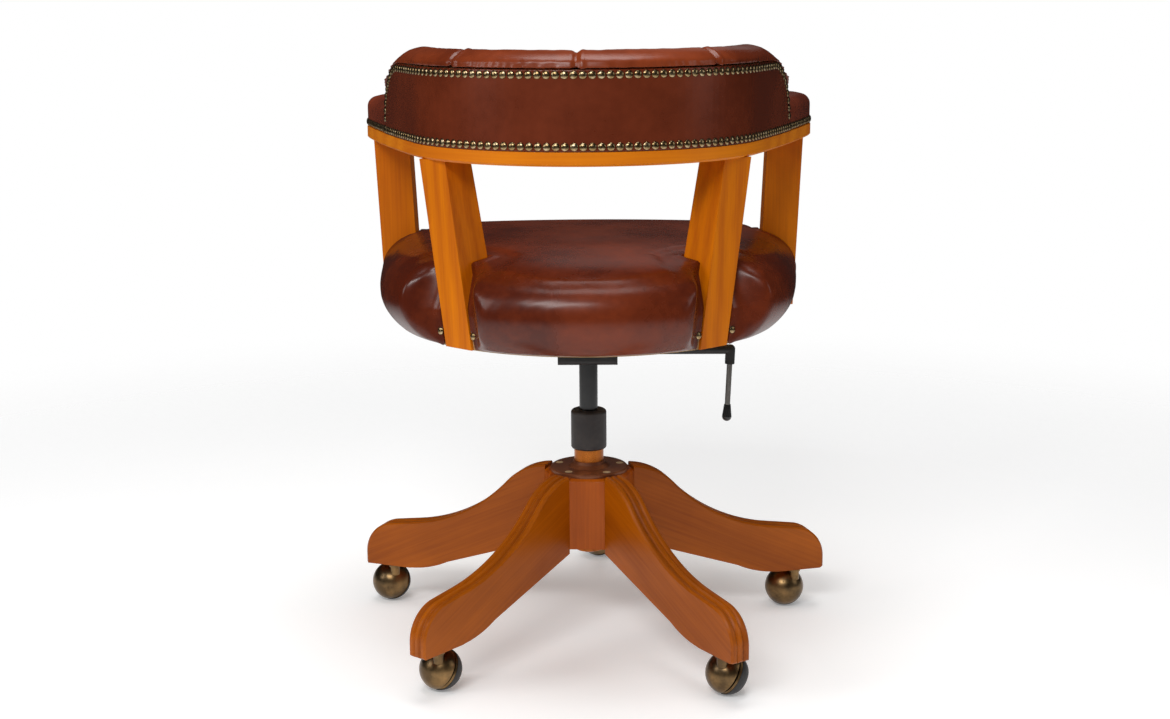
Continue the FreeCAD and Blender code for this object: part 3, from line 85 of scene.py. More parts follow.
def softbox(name, place, aim, wide, high, watts):
    """An oblong lamp turned towards a point."""
    lamp = bpy.data.lights.new(name, "AREA")
    lamp.shape = "RECTANGLE"
    lamp.size = wide
    lamp.size_y = high
    lamp.energy = watts
    held = bpy.data.objects.new(name, lamp)
    scene.collection.objects.link(held)
    held.location = place
    towards = Vector(aim) - Vector(place)
    held.rotation_euler = towards.to_track_quat("-Z", "Y").to_euler()


softbox("key_box", (0.8, 2.7, 2.4), (0, 0, 0.5), 1.7, 0.55, 46)
softbox("left_box", (2.6, 1.3, 1.6), (0, 0, 0.5), 0.9, 1.2, 16)
softbox("right_box", (-2.7, 0.7, 1.3), (0, 0, 0.4), 0.9, 1.2, 5)
softbox("front_box", (-0.4, -2.8, 2.2), (0, 0, 0.5), 1.4, 1.4, 1.6)
softbox("top_box", (0, 0.1, 3.2), (0, 0, 0), 1.6, 1.6, 44)


def add(tree, kind, values=None, **settings):
    """A shader node with its settings and its inputs, each a plain value or another node's output."""
    made = tree.nodes.new(kind)
    for name, setting in settings.items():
        setattr(made, name, setting)
    for name, value in (values or {}).items():
        if isinstance(value, bpy.types.NodeSocket):
            tree.links.new(value, made.inputs[name])
        else:
            made.inputs[name].default_value = value
    return made


world = bpy.data.worlds.new("white_room")
scene.world = world
world.use_nodes = True
room = world.node_tree
room.nodes.clear()
seen = add(room, "ShaderNodeLightPath")
lighting = add(room, "ShaderNodeBackground", {"Color": (1, 1, 1, 1), "Strength": 0.28})
mirrored = add(room, "ShaderNodeBackground", {"Color": (1, 1, 1, 1), "Strength": 0.02})
backdrop = add(room, "ShaderNodeBackground", {"Color": (1, 1, 1, 1), "Strength": 1.0})
dim = add(room, "ShaderNodeMixShader", {0: seen.outputs["Is Glossy Ray"]})
room.links.new(lighting.outputs[0], dim.inputs[1])
room.links.new(mirrored.outputs[0], dim.inputs[2])
either = add(room, "ShaderNodeMixShader", {0: seen.outputs["Is Camera Ray"]})
room.links.new(dim.outputs[0], either.inputs[1])
room.links.new(backdrop.outputs[0], either.inputs[2])
add(room, "ShaderNodeOutputWorld", {"Surface": either.outputs[0]})

# Floor: a pale round sheet under the castors that takes the chair's soft shadow.
# Towards its rim it fades out, so that no edge shows against the white room.
FLOOR_RADIUS = 3.0
FLOOR_LEVEL = -0.0006
FLOOR_CORNERS = 96


def linked(name, vertices, faces):
    """A mesh object in the scene from its vertices and faces."""
    mesh = bpy.data.meshes.new(name)
    mesh.from_pydata([tuple(v) for v in vertices], [], faces)
    mesh.update()
    made = bpy.data.objects.new(name, mesh)
    scene.collection.objects.link(made)
    return made


rim = [
    (FLOOR_RADIUS * math.cos(a), FLOOR_RADIUS * math.sin(a), FLOOR_LEVEL)
    for a in np.linspace(0, math.tau, FLOOR_CORNERS, endpoint=False)
]
floor = linked("floor", rim, [list(range(FLOOR_CORNERS))])


def shader(name):
    """A new node material: its tree, its main shader and the object coordinates in metres."""
    made = bpy.data.materials.new(name)
    made.use_nodes = True
    tree = made.node_tree
    return made, tree, tree.nodes["Principled BSDF"], add(tree, "ShaderNodeTexCoord").outputs["Object"]


paper, tree, skin, place = shader("pale_floor")
skin.inputs["Roughness"].default_value = 0.9
skin.inputs["Specular IOR Level"].default_value = 0.1
skin.inputs["Emission Color"].default_value = (1, 1, 1, 1)
skin.inputs["Emission Strength"].default_value = 0.18
cloud = add(tree, "ShaderNodeTexNoise", {"Vector": place, "Scale": 1.5})
tone = add(tree, "ShaderNodeMix",
           {0: cloud.outputs[0], 6: (0.95, 0.95, 0.95, 1), 7: (0.98, 0.98, 0.98, 1)}, data_type="RGBA")
tree.links.new(tone.outputs[2], skin.inputs["Base Color"])
spread = add(tree, "ShaderNodeVectorMath", {0: place}, operation="LENGTH")
fade = add(tree, "ShaderNodeMapRange", {0: spread.outputs["Value"], 1: 0.7, 2: 2.2, 3: 1.0, 4: 0.0},
           interpolation_type="SMOOTHSTEP")
tree.links.new(fade.outputs[0], skin.inputs["Alpha"])
floor.data.materials.append(paper)

# Base: hub and five reeded ogee legs in honey-stained wood, with plain dowels in the joints.
# The grain runs down each leg from the hub, and up and down in the hub itself.
BASE_LIGHT = (176, 90, 2)
BASE_DARK = (134, 62, 0)
HUB_LIGHT = (174, 84, 4)
HUB_DARK = (130, 52, 0)
LEG_HEADINGS = (270, 342, 54, 126, 198)
BASE_TURN = -2.3
LEG_SLOPE = 24
UPWARD = (0, math.radians(-90), 0)


def srgb(red, green, blue):
    """A colour written as on a screen, 0 to 255, in the linear numbers that a shader takes."""
    parts = [c / 255 for c in (red, green, blue)]
    return tuple(p / 12.92 if p < 0.04045 else ((p + 0.055) / 1.055) ** 2.4 for p in parts) + (1,)


def effect(name, wants, gives):
    """A shared shader group with its inputs and outputs."""
    group = bpy.data.node_groups.new(name, "ShaderNodeTree")
    for label, kind in wants.items():
        group.interface.new_socket(label, in_out="INPUT", socket_type="NodeSocket" + kind)
    for label, kind in gives.items():
        group.interface.new_socket(label, in_out="OUTPUT", socket_type="NodeSocket" + kind)
    start = group.nodes.new("NodeGroupInput").outputs
    end = group.nodes.new("NodeGroupOutput").inputs
    return group, start, end


def sums(tree, *parts):
    """The weighted sum of some values, from pairs of an output and its weight."""
    total = None
    for value, weight in parts:
        term = {0: value, 1: weight}
        if total is None:
            total = add(tree, "ShaderNodeMath", term, operation="MULTIPLY").outputs[0]
        else:
            term[2] = total
            total = add(tree, "ShaderNodeMath", term, operation="MULTIPLY_ADD").outputs[0]
    return total


def stretched(tree, vector, factors, scale=1.0, detail=2.0, rough=0.5):
    """Noise drawn out along the axes by a factor for each."""
    drawn = add(tree, "ShaderNodeVectorMath", {0: vector, 1: factors}, operation="MULTIPLY")
    made = add(tree, "ShaderNodeTexNoise",
               {"Vector": drawn.outputs[0], "Scale": scale, "Detail": detail, "Roughness": rough})
    return made.outputs[0]


def mapped(tree, value, low, high, new_low, new_high):
    """A value moved from one range to another and held inside it."""
    return add(tree, "ShaderNodeMapRange", {0: value, 1: low, 2: high, 3: new_low, 4: new_high}).outputs[0]


def mixed(tree, factor, first, second):
    """Two colours mixed by a mask."""
    return add(tree, "ShaderNodeMix", {0: factor, 6: first, 7: second}, data_type="RGBA").outputs[2]


wood_figure, start, end = effect(
    "wood_figure",
    {"Grain": "Vector", "Light": "Color", "Dark": "Color"},
    {"Color": "Color", "Roughness": "Float", "Height": "Float"},
)
drift = stretched(wood_figure, start["Grain"], (1.6, 10, 10))
swing = add(wood_figure, "ShaderNodeCombineXYZ", {1: drift, 2: drift})
pushed = add(wood_figure, "ShaderNodeVectorMath", {0: swing.outputs[0], 1: (0.05, 0.05, 0.05)},
             operation="MULTIPLY")
wandering = add(wood_figure, "ShaderNodeVectorMath", {0: start["Grain"], 1: pushed.outputs[0]})
rings = add(wood_figure, "ShaderNodeTexWave",
            {"Vector": wandering.outputs[0], "Scale": 17, "Distortion": 2.2, "Detail": 2,
             "Detail Scale": 0.7},
            bands_direction="Y")
streaks = stretched(wood_figure, start["Grain"], (9, 330, 330), detail=3, rough=0.6)
patches = stretched(wood_figure, start["Grain"], (4, 17, 17))
figure = sums(wood_figure, (rings.outputs[1], 0.24), (streaks, 0.5), (patches, 0.42))
depth = mapped(wood_figure, figure, 0.3, 0.85, 0, 1)
wood_figure.links.new(mixed(wood_figure, depth, start["Light"], start["Dark"]), end["Color"])
wood_figure.links.new(mapped(wood_figure, figure, 0.3, 0.9, 0.27, 0.4), end["Roughness"])
wood_figure.links.new(streaks, end["Height"])


def grouped(tree, group, values):
    """A shared shader group placed in a material."""
    made = tree.nodes.new("ShaderNodeGroup")
    made.node_tree = group
    for name, value in values.items():
        if isinstance(value, bpy.types.NodeSocket):
            tree.links.new(value, made.inputs[name])
        else:
            made.inputs[name].default_value = value
    return made.outputs


def surfaced(tree, skin, outputs, bump, distance, edge=None):
    """Colour, roughness and relief of a shared group led to the main shader."""
    tree.links.new(outputs["Color"], skin.inputs["Base Color"])
    tree.links.new(outputs["Roughness"], skin.inputs["Roughness"])
    relief = {"Height": outputs["Height"], "Strength": bump, "Distance": distance}
    if edge:
        relief["Normal"] = add(tree, "ShaderNodeBevel", {"Radius": edge}, samples=4).outputs[0]
    tree.links.new(add(tree, "ShaderNodeBump", relief).outputs[0], skin.inputs["Normal"])


def stained(name, light, dark, turn=(0, 0, 0), shift=0.0, grain=None):
    """Lacquered honey wood whose grain runs along X once the coordinates have been turned."""
    made, tree, skin, place = shader(name)
    if grain is None:
        laid = add(tree, "ShaderNodeMapping",
                   {"Vector": place, "Location": (shift, shift / 3, shift / 7), "Rotation": turn},
                   vector_type="TEXTURE").outputs[0]
    else:
        laid = grain(tree, place)
    figured = grouped(tree, wood_figure, {"Grain": laid, "Light": srgb(*light), "Dark": srgb(*dark)})
    surfaced(tree, skin, figured, 0.12, 0.0004, 0.0012)
    skin.inputs["Specular IOR Level"].default_value = 0.22
    return made


def dress(finish, *names):
    """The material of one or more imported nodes."""
    for name in names:
        nodes[name].data.materials.clear()
        nodes[name].data.materials.append(finish)


for number, heading in enumerate(LEG_HEADINGS, 1):
    along = (0, math.radians(LEG_SLOPE), math.radians(heading + BASE_TURN))
    dress(stained(f"leg_{number}_wood", BASE_LIGHT, BASE_DARK, along, number * 0.37), f"leg_{number}")
dress(stained("hub_wood", HUB_LIGHT, HUB_DARK, UPWARD, 0.9), "base_hub")

# Dowels: plain turned pins, glued in the joints of legs and hub and hidden there.
# They are pale bare wood, as cut.
plain_wood = stained("plain_wood", (214, 178, 128), (176, 136, 90), UPWARD)
dress(plain_wood, "leg_dowels")

# Castors: five ball castors, each a bronzed hood and wheel with a black tread, on a steel axle.
# Their stems turn in bronzed sockets in the legs, and use has rubbed the dark bronze to gold.
surface_wear, start, end = effect(
    "surface_wear",
    {"Place": "Vector", "Main": "Color", "Worn": "Color", "Grain": "Float", "Rough": "Float"},
    {"Color": "Color", "Roughness": "Float", "Height": "Float"},
)
blotches = add(surface_wear, "ShaderNodeTexNoise",
               {"Vector": start["Place"], "Scale": start["Grain"], "Detail": 4, "Roughness": 0.62})
specks = stretched(surface_wear, start["Place"], (700, 700, 700), detail=1)
rubbed = mapped(surface_wear, blotches.outputs[0], 0.45, 0.75, 0, 1)
surface_wear.links.new(mixed(surface_wear, rubbed, start["Main"], start["Worn"]), end["Color"])
uneven = sums(surface_wear, (blotches.outputs[0], 0.18), (specks, 0.08), (start["Rough"], 1.0))
surface_wear.links.new(uneven, end["Roughness"])
surface_wear.links.new(sums(surface_wear, (blotches.outputs[0], 0.7), (specks, 0.3)), end["Height"])


def worn(name, main, rub, rough, metal=0.0, grain=60.0, coat=0.0, bump=0.08):
    """A painted, metal, rubber or plastic finish with rubbed patches."""
    made, tree, skin, place = shader(name)
    wants = {"Place": place, "Main": srgb(*main), "Worn": srgb(*rub), "Grain": grain, "Rough": rough}
    surfaced(tree, skin, grouped(tree, surface_wear, wants), bump, 0.0003)
    skin.inputs["Metallic"].default_value = metal
    skin.inputs["Coat Weight"].default_value = coat
    return made


aged_bronze = worn("aged_bronze", (96, 78, 56), (168, 134, 88), 0.2, metal=1.0, grain=24)
tread = worn("black_tread", (26, 25, 25), (52, 50, 48), 0.42, grain=90)
bare_steel = worn("bare_steel", (168, 168, 166), (196, 194, 190), 0.25, metal=1.0)
for number in range(1, 6):
    dress(aged_bronze, f"castor_{number}_hood", f"castor_{number}_wheel")
    dress(tread, f"castor_{number}_tyre")
    dress(bare_steel, f"castor_{number}_axle")
dress(worn("socket_bronze", (80, 60, 42), (140, 104, 62), 0.3, metal=1.0), "castor_sockets")

# Column: a brown-bronzed floor flange with six bright screws carries the black tube of the lift.
# A dark collar covers the joint of tube and rod, and the bearing parts inside are bare steel.
dress(worn("flange_bronze", (112, 62, 36), (146, 88, 52), 0.28, metal=0.35, grain=30), "base_flange")
dress(worn("screw_brass", (214, 184, 138), (236, 214, 176), 0.32, metal=0.4), "flange_screws")
dress(worn("tube_bronze", (186, 104, 24), (150, 76, 22), 0.16, metal=0.6, grain=30), "column_tube")
dress(worn("collar_black", (44, 38, 37), (62, 55, 52), 0.34), "column_collar")
dress(worn("lift_black", (18, 17, 17), (30, 29, 28), 0.2, coat=0.5), "lift_tube")
dress(bare_steel, "piston_rod", "thrust_bearing")
dress(worn("bush_plastic", (58, 58, 60), (78, 78, 80), 0.4), "guide_bush")

# Tilt mechanism: a pressed housing and the seat plate, both painted black, hinged on a steel pin.
# The release lever hangs from its cross shaft beside the housing: a steel rod with a small black knob.
black_paint = worn("black_paint", (22, 21, 21), (44, 42, 41), 0.36, grain=35)
dress(black_paint, "tilt_housing", "seat_plate", "lever_shaft")
dress(worn("rod_steel", (120, 116, 112), (168, 164, 158), 0.2, metal=1.0), "lever_rod")
dress(worn("knob_plastic", (16, 16, 16), (30, 30, 30), 0.24, coat=0.4), "lever_knob")
dress(bare_steel, "pivot_pin", "valve_button", "seat_screws")

# Torsion spring: six turns of steel wire round the pivot pin, one leg on the housing floor.
# Its other leg presses up under the seat plate, which on the chair pushes it down as the seat tilts; this
# copy is one fixed mesh and does not bend.
spring = bpy.data.objects.new("tilt_spring_wire", nodes["tilt_spring"].data.copy())
scene.collection.objects.link(spring)
spring.data.materials.clear()
spring.data.materials.append(worn("spring_steel", (70, 68, 66), (120, 118, 114), 0.28, metal=1.0))
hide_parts("tilt_spring")
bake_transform(spring)

# Seat board: plain plywood under the cushion, screwed to the seat plate from below.
# Its grain runs across the seat.
dress(stained("board_wood", (206, 172, 124), (168, 130, 88)), "seat_board")

# Posts: four tapered honey wood posts, bolted through at the seat and screwed under the arm rail.
# Their grain runs upwards, and their stain is lighter than the base's.
HONEY_LIGHT = (226, 126, 4)
HONEY_DARK = (188, 92, 0)
for number, side in enumerate(("rear_left", "rear_right", "front_left", "front_right")):
    post_wood = stained(f"post_{side}_wood", HONEY_LIGHT, HONEY_DARK, UPWARD, 1.3 + number * 0.41)
    dress(post_wood, f"upright_{side}")
dress(bare_steel, "upright_bolts", "rail_screws")

# Arm rail: one bent run of honey wood from arm end to arm end, bare along its lower edge.
# Its grain follows the bend, straight along the arms and round behind the back.
BEND_CENTRE = 0.036
BEND_RADIUS = 0.2


def round_the_bend(tree, place):
    """Coordinates with X along the bent rail, Y across it and Z up."""
    apart = add(tree, "ShaderNodeSeparateXYZ", {0: place}).outputs
    past = add(tree, "ShaderNodeMath", {0: apart[1], 1: BEND_CENTRE}, operation="SUBTRACT").outputs[0]
    behind = add(tree, "ShaderNodeMath", {0: past, 1: 0.0}, operation="MAXIMUM").outputs[0]
    ahead = add(tree, "ShaderNodeMath", {0: past, 1: 0.0}, operation="MINIMUM").outputs[0]
    side = add(tree, "ShaderNodeMath", {0: apart[0]}, operation="SIGN").outputs[0]
    straight = add(tree, "ShaderNodeMath", {0: ahead, 1: side}, operation="MULTIPLY").outputs[0]
    round_angle = add(tree, "ShaderNodeMath", {0: behind, 1: apart[0]}, operation="ARCTAN2").outputs[0]
    run = sums(tree, (round_angle, BEND_RADIUS), (straight, 1.0))
    flat = add(tree, "ShaderNodeCombineXYZ", {0: apart[0], 1: behind}).outputs[0]
    across = add(tree, "ShaderNodeVectorMath", {0: flat}, operation="LENGTH").outputs["Value"]
    return add(tree, "ShaderNodeCombineXYZ", {0: run, 1: across, 2: apart[2]}).outputs[0]


dress(stained("rail_wood", (240, 140, 16), (206, 106, 4), grain=round_the_bend), "arm_rail")
dress(plain_wood, "back_frame")

# Seat cushion: a deep stuffed seat in one piece of brown leather, drawn in beside the rear posts.
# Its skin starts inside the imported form, is blown up as cloth and is held to the space it has.
SEAT_DEEP = (80, 27, 10)
SEAT_WORN = (122, 48, 17)
WELD_GAP = 0.00005
CROWN_FROM = 0.5
CROWN_RISE = 0.03
CROWN_CLEAR = 0.035
CLOTH_FRAMES = 20
CLOTH_SINK = 0.0008
SNAP_REACH = 0.016

leather_skin, start, end = effect(
    "leather_skin",
    {"Place": "Vector", "Deep": "Color", "Worn": "Color"},
    {"Color": "Color", "Roughness": "Float", "Height": "Float"},
)
clouds = add(leather_skin, "ShaderNodeTexNoise", {"Vector": start["Place"], "Scale": 6.5, "Detail": 4})
dapple = add(leather_skin, "ShaderNodeTexNoise", {"Vector": start["Place"], "Scale": 90, "Detail": 2})
stray = add(leather_skin, "ShaderNodeVectorMath",
            {0: dapple.outputs["Color"], 1: (0.006, 0.006, 0.006)}, operation="MULTIPLY")
bent = add(leather_skin, "ShaderNodeVectorMath", {0: start["Place"], 1: stray.outputs[0]})
creases = add(leather_skin, "ShaderNodeTexVoronoi", {"Vector": bent.outputs[0], "Scale": 42},
              feature="DISTANCE_TO_EDGE")
pores = add(leather_skin, "ShaderNodeTexVoronoi", {"Vector": start["Place"], "Scale": 620})
open_skin = mapped(leather_skin, creases.outputs[0], 0.0, 0.07, 0, 1)
tone = sums(leather_skin, (clouds.outputs[0], 0.82), (dapple.outputs[0], 0.18))
rub = mapped(leather_skin, tone, 0.42, 0.68, 0, 1)
leather_skin.links.new(mixed(leather_skin, rub, start["Deep"], start["Worn"]), end["Color"])
leather_skin.links.new(mapped(leather_skin, tone, 0.35, 0.7, 0.24, 0.31), end["Roughness"])
leather_skin.links.new(sums(leather_skin, (open_skin, 0.2), (pores.outputs[0], 0.8)), end["Height"])


def leather(name, deep, rubbed):
    """Smooth glazed leather with clouded colour and a fine grain."""
    made, tree, skin, place = shader(name)
    wants = {"Place": place, "Deep": srgb(*deep), "Worn": srgb(*rubbed)}
    surfaced(tree, skin, grouped(tree, leather_skin, wants), 0.045, 0.0003)
    skin.inputs["Specular IOR Level"].default_value = 0.34
    return made


def evaluated(piece):
    """A piece's mesh with its modifiers applied, as it stands at this frame."""
    drawn = piece.evaluated_get(bpy.context.evaluated_depsgraph_get())
    return bpy.data.meshes.new_from_object(drawn)


def settled(piece):
    """Applies a piece's modifiers to its mesh."""
    piece.data = evaluated(piece)
    piece.modifiers.clear()


def points(mesh):
    """A mesh's vertices as an array."""
    made = np.empty(len(mesh.vertices) * 3)
    mesh.vertices.foreach_get("co", made)
    return made.reshape(-1, 3)


def moved(mesh, places):
    """Writes an array of places back to a mesh."""
    mesh.vertices.foreach_set("co", places.ravel())
    mesh.update()


def normals(mesh):
    """The direction out of a mesh at each vertex."""
    return np.array([v.normal for v in mesh.vertices])


def closeness(places, tree, reach):
    """One at the surface of a tree of faces, easing to nothing at a reach from it."""
    far = np.array([tree.find_nearest(Vector(p))[3] for p in places])
    share = np.clip(far / reach, 0, 1)
    return 1 - share**2 * (3 - 2 * share)


def snapped(piece, surface, weight):
    """Moves a piece's points onto a surface by their weights."""
    places = points(piece.data)
    for i in np.flatnonzero(weight > 0.001):
        spot = surface.find_nearest(Vector(places[i]))[0]
        places[i] += (np.array(spot) - places[i]) * weight[i]
    moved(piece.data, places)


def covering(*pieces):
    """The faces of some pieces as one tree, for finding the nearest point or the first one on a ray."""
    corners = []
    faces = []
    for piece in pieces:
        base = len(corners)
        corners += [v.co.copy() for v in piece.data.vertices]
        faces += [[base + i for i in p.vertices] for p in piece.data.polygons]
    return BVHTree.FromPolygons(corners, faces)


def welded(node, name, voxel):
    """A copy of a packed soft node as a piece of its own, in one even skin."""
    piece = bpy.data.objects.new(name, nodes[node].data.copy())
    scene.collection.objects.link(piece)
    weld = piece.modifiers.new("weld", "WELD")
    weld.merge_threshold = WELD_GAP
    remesh = piece.modifiers.new("remesh", "REMESH")
    remesh.mode = "VOXEL"
    remesh.voxel_size = voxel
    remesh.use_smooth_shade = True
    settled(piece)
    return piece


def relaxed(piece, rounds, group=""):
    """Smooths a piece's skin, in a vertex group of it or all over."""
    relax = piece.modifiers.new("relax", "SMOOTH")
    relax.factor = 0.5
    relax.iterations = rounds
    relax.vertex_group = group
    settled(piece)


def stuffed(piece, inside, limit, held_below):
    """Draws a skin in and blows it up as cloth again, to a limit and fixed below a level."""
    full = points(piece.data)
    outwards = normals(piece.data)
    begun = full - outwards * inside
    moved(piece.data, begun)
    held = piece.vertex_groups.new(name="held")
    held.add([int(i) for i in np.flatnonzero(begun[:, 2] < held_below)], 1.0, "REPLACE")
    cloth = piece.modifiers.new("cloth", "CLOTH")
    cloth.settings.quality = 5
    cloth.settings.mass = 0.3
    cloth.settings.tension_stiffness = 12
    cloth.settings.compression_stiffness = 12
    cloth.settings.bending_stiffness = 0.6
    cloth.settings.use_pressure = True
    cloth.settings.uniform_pressure_force = 4
    cloth.settings.effector_weights.gravity = 0
    cloth.settings.vertex_group_mass = "held"
    cloth.point_cache.frame_end = CLOTH_FRAMES
    for number in range(1, CLOTH_FRAMES + 1):
        scene.frame_set(number)
    blown = points(evaluated(piece))
    piece.modifiers.clear()
    scene.frame_set(1)
    swell = ((blown - begun) * outwards).sum(axis=1, keepdims=True)
    begun = begun + outwards * np.clip(swell, -CLOTH_SINK, limit)
    moved(piece.data, begun)


def rounded(piece):
    """One smooth subdivision, applied."""
    finer = piece.modifiers.new("finer", "SUBSURF")
    finer.levels = 1
    finer.render_levels = 1
    settled(piece)
    for face in piece.data.polygons:
        face.use_smooth = True


def upholstered(piece, node, finish):
    """Material, body and standing-in of a leather piece on the seat."""
    piece.data.materials.clear()
    piece.data.materials.append(finish)
    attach(piece, "seat")
    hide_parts(node)


corners = ("rear_left", "rear_right", "front_left", "front_right")
posts = covering(*(nodes[f"upright_{corner}"] for corner in corners))
packed_seat = covering(nodes["seat_cushion"])
POST_FOOT = (0.153, 0.170, 0.418)
POST_TOP = (0.181, 0.157, 0.6435)
POST_HEADING = math.radians(49)
POST_HALF = 0.022
DRAW_FROM = 0.462
DRAW_RISE = 0.045
DRAW_DEPTH = 0.019
DRAW_WIDTH = 0.042
DRAW_INWARD = 0.05
DRAW_LAP = 0.002
seat = welded("seat_cushion", "seat_cushion_skin", voxel=0.0055)
relaxed(seat, 6)
crown = seat.vertex_groups.new(name="crown")
places = points(seat.data)
raised = np.clip((places[:, 2] - CROWN_FROM) / CROWN_RISE, 0, 1)
for index, share in enumerate(raised * (1 - closeness(places, posts, CROWN_CLEAR))):
    crown.add([index], float(share), "REPLACE")
relaxed(seat, 60, "crown")
stuffed(seat, inside=0.002, limit=0.0024, held_below=0.424)
rounded(seat)
snapped(seat, packed_seat, closeness(points(seat.data), posts, SNAP_REACH))
places = points(seat.data)
for side in (1, -1):
    share = (places[:, 2] - POST_FOOT[2]) / (POST_TOP[2] - POST_FOOT[2])
    off_x = places[:, 0] - side * (POST_FOOT[0] + (POST_TOP[0] - POST_FOOT[0]) * share)
    off_y = places[:, 1] - (POST_FOOT[1] + (POST_TOP[1] - POST_FOOT[1]) * share)
    out = off_x * side * math.cos(POST_HEADING) + off_y * math.sin(POST_HEADING)
    aside = np.abs(off_y * math.cos(POST_HEADING) - off_x * side * math.sin(POST_HEADING))
    beside = np.clip((aside - POST_HALF) / DRAW_WIDTH, 0, 1)
    ease = beside**2 * (3 - 2 * beside)
    edge = -DRAW_DEPTH * np.clip((places[:, 2] - DRAW_FROM) / DRAW_RISE, 0, 1)
    drawn = np.minimum(out, edge * (1 - ease) + out * ease)
    near = (out > -DRAW_INWARD) & (aside > POST_HALF - DRAW_LAP)
    pull = np.where(near, drawn - out, 0)
    places[:, 0] += pull * side * math.cos(POST_HEADING)
    places[:, 1] += pull * math.sin(POST_HEADING)
moved(seat.data, places)
upholstered(seat, "seat_cushion", leather("seat_leather", SEAT_DEEP, SEAT_WORN))

# Arm pads: thin padded leather caps over the fronts of both arms.
# They are stuffed firmly, so they keep a flat top with a soft edge.
arm_leather = leather("arm_leather", (94, 36, 20), (134, 56, 30))
arm_pads = []
for side in ("left", "right"):
    pad = welded(f"arm_pad_{side}", f"arm_pad_{side}_skin", voxel=0.003)
    relaxed(pad, 1)
    stuffed(pad, inside=0.001, limit=0.0012, held_below=0.672)
    rounded(pad)
    upholstered(pad, f"arm_pad_{side}", arm_leather)
    arm_pads.append(pad)

# Back panel: a sheet of leather stretched over the outside of the back frame.
# It is held by the nails along its edges and lies flat on the frame between them.
panel = welded("back_panel", "back_panel_skin", voxel=0.0014)
upholstered(panel, "back_panel", leather("panel_leather", (89, 34, 15), (113, 46, 21)))

# Back roll: the stuffed inside and top of the back, rolled over to meet the outer panel.
# Three pleats are pinched across the roll, each sewn down from the nails to the inside.
PLEAT_HEADINGS = (46.5, 88, 133.5)
PLEAT_WIDTH = 0.0030
PLEAT_DEPTH = 0.0026
PLEAT_FROM = 0.69
PLEAT_RISE = 0.035
PLEAT_LIP = 0.4
PLEAT_LIP_ASIDE = 0.0069
roll = welded("back_pad", "back_pad_skin", voxel=0.0042)
relaxed(roll, 2)
stuffed(roll, inside=0.0015, limit=0.002, held_below=0.668)
rounded(roll)
places = points(roll.data)
outwards = normals(roll.data)
radius = np.hypot(places[:, 0], places[:, 1] - BEND_CENTRE)
heading = np.arctan2(places[:, 1] - BEND_CENTRE, places[:, 0])
reach = np.clip((places[:, 2] - PLEAT_FROM) / PLEAT_RISE, 0, 1)
for angle in PLEAT_HEADINGS:
    off = radius * np.sin(heading - math.radians(angle))
    near = np.abs(heading - math.radians(angle)) < 0.5
    pinch = np.exp(-((off / PLEAT_WIDTH) ** 2))
    lip = np.exp(-(((off - PLEAT_LIP_ASIDE) / PLEAT_WIDTH) ** 2))
    places -= outwards * ((pinch - PLEAT_LIP * lip) * near * reach * PLEAT_DEPTH)[:, None]
moved(roll.data, places)
upholstered(roll, "back_pad", leather("roll_leather", (100, 38, 15), (137, 58, 25)))

# Dome nails: antique brass nails in a close row along the rail, round the panel and at the posts.
# Each is a low dome with a dark rim, set where its line meets the leather.
NAIL_RADIUS = 0.0048
NAIL_RISE = 0.0022
NAIL_PITCH = 0.0104
NAIL_SIDES = 14
NAIL_SEEK = 0.03
RAIL_WIDTH = 0.06
RAIL_TURN = 22
ARM_END = 15.2
REAR_RADIUS = 0.222
ARM_RADIUS = 2.5
ARM_CENTRE = (-2.1121, -0.81735)
TIP_CENTRE = (0.2715, -0.1697)
TIP_RADIUS = 0.030
REAR_RUN = REAR_RADIUS * math.radians(90 - RAIL_TURN)
ARM_RUN = ARM_RADIUS * math.radians(RAIL_TURN - ARM_END)
TIP_RUN = TIP_RADIUS * math.pi


def rail_edge(run):
    """Place and outward direction on the rail's outer edge, from the run along it from the rear centre."""
    side = 1 if run >= 0 else -1
    run = abs(run)
    if run < REAR_RUN:
        turn = math.radians(90) - run / REAR_RADIUS
        out = Vector((math.cos(turn), math.sin(turn), 0))
        spot = Vector((0, BEND_CENTRE, 0)) + out * REAR_RADIUS
    elif run < REAR_RUN + ARM_RUN:
        turn = math.radians(RAIL_TURN) - (run - REAR_RUN) / ARM_RADIUS
        out = Vector((math.cos(turn), math.sin(turn), 0))
        spot = Vector((*ARM_CENTRE, 0)) + out * ARM_RADIUS
    elif run < REAR_RUN + ARM_RUN + TIP_RUN:
        turn = math.radians(ARM_END) - (run - REAR_RUN - ARM_RUN) / TIP_RADIUS
        out = Vector((math.cos(turn), math.sin(turn), 0))
        spot = Vector((*TIP_CENTRE, 0)) + out * TIP_RADIUS
    else:
        inner = ARM_RADIUS - RAIL_WIDTH
        turn = math.radians(ARM_END) + (run - REAR_RUN - ARM_RUN - TIP_RUN) / inner
        out = -Vector((math.cos(turn), math.sin(turn), 0))
        spot = Vector((*ARM_CENTRE, 0)) - out * inner
    spot.x *= side
    out.x *= side
    return spot, out


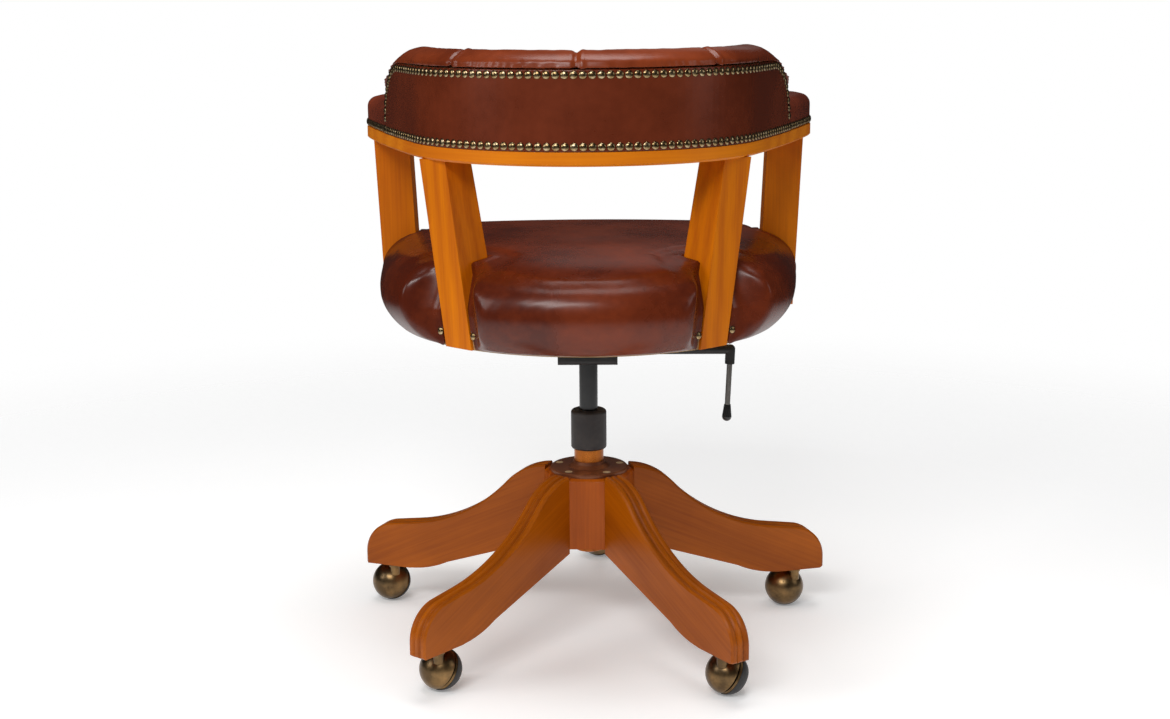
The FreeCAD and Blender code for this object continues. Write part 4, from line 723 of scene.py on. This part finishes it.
def nailed(name, cover, rays):
    """One mesh of dome nails, each where its ray meets the leather."""
    rings = [(1.0, -0.25), (1.0, 0.12), (0.94, 0.3), (0.8, 0.56), (0.55, 0.82), (0.28, 0.96)]
    vertices = []
    faces = []
    shades = []
    for spot, out in rays:
        hit, normal, _, _ = cover.ray_cast(spot + out * NAIL_SEEK, -out, 2 * NAIL_SEEK)
        if hit is None:
            continue
        up = (normal + out).normalized()
        turned = up.to_track_quat("Z", "Y")
        first = len(vertices)
        for share, rise in rings:
            wide = share * NAIL_RADIUS
            for k in range(NAIL_SIDES):
                a = math.tau * k / NAIL_SIDES
                flat = Vector((math.cos(a) * wide, math.sin(a) * wide, rise * NAIL_RISE))
                vertices.append(hit + turned @ flat)
        vertices.append(hit + up * NAIL_RISE)
        for ring in range(len(rings) - 1):
            for k in range(NAIL_SIDES):
                a = first + ring * NAIL_SIDES + k
                b = first + ring * NAIL_SIDES + (k + 1) % NAIL_SIDES
                faces.append([a, b, b + NAIL_SIDES, a + NAIL_SIDES])
                shades.append(1 if ring < 2 else 0)
        last = first + (len(rings) - 1) * NAIL_SIDES
        for k in range(NAIL_SIDES):
            faces.append([last + k, last + (k + 1) % NAIL_SIDES, len(vertices) - 1])
            shades.append(0)
    made = linked(name, vertices, faces)
    made.data.materials.append(nail_brass)
    made.data.materials.append(nail_rim)
    for face, shade in zip(made.data.polygons, shades):
        face.material_index = shade
        face.use_smooth = True
    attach(made, "seat")
    return made


nail_brass = worn("antique_brass", (150, 124, 84), (222, 202, 164), 0.16, metal=1.0, grain=260)
nail_rim = worn("brass_rim", (46, 32, 20), (80, 58, 34), 0.4, metal=0.8, grain=260)
cover = covering(seat, panel, roll, *arm_pads)

LOWER_LEVEL = 0.666
INNER_RUN = 0.125
lower_half = REAR_RUN + ARM_RUN + TIP_RUN + INNER_RUN
count = int(lower_half / NAIL_PITCH)
lower_rays = []
for index in range(-count, count + 1):
    spot, out = rail_edge(index * NAIL_PITCH)
    lower_rays.append((spot + Vector((0, 0, LOWER_LEVEL)), out))
nailed("rail_nails", cover, lower_rays)

UPPER_LEVEL = 0.7462
CORNER_RADIUS = 0.079
CORNER_RUN = 0.3356
CORNER_LEVEL = 0.6675
END_GAP = 0.006
corner_length = CORNER_RADIUS * math.pi / 2
count = int((CORNER_RUN + corner_length - END_GAP) / NAIL_PITCH)
upper_rays = []
for index in range(-count, count + 1):
    run = abs(index) * NAIL_PITCH
    if run < CORNER_RUN:
        height = UPPER_LEVEL
    else:
        bend = (run - CORNER_RUN) / CORNER_RADIUS
        height = CORNER_LEVEL + CORNER_RADIUS * math.cos(bend)
        run = CORNER_RUN + CORNER_RADIUS * math.sin(bend)
    spot, out = rail_edge(math.copysign(run, index))
    upper_rays.append((spot + Vector((0, 0, height)), out))
nailed("panel_nails", cover, upper_rays)

POST_FACE = (0.1552, 0.1690, 0.436)
NAIL_ASIDE = 0.028
post_rays = []
for side in (1, -1):
    for aside in (NAIL_ASIDE, -NAIL_ASIDE):
        out = Vector((side * math.cos(POST_HEADING), math.sin(POST_HEADING), 0))
        across = Vector((-side * math.sin(POST_HEADING), math.cos(POST_HEADING), 0))
        spot = Vector((side * POST_FACE[0], POST_FACE[1], POST_FACE[2]))
        post_rays.append((spot + across * aside, out))
nailed("post_nails", cover, post_rays)
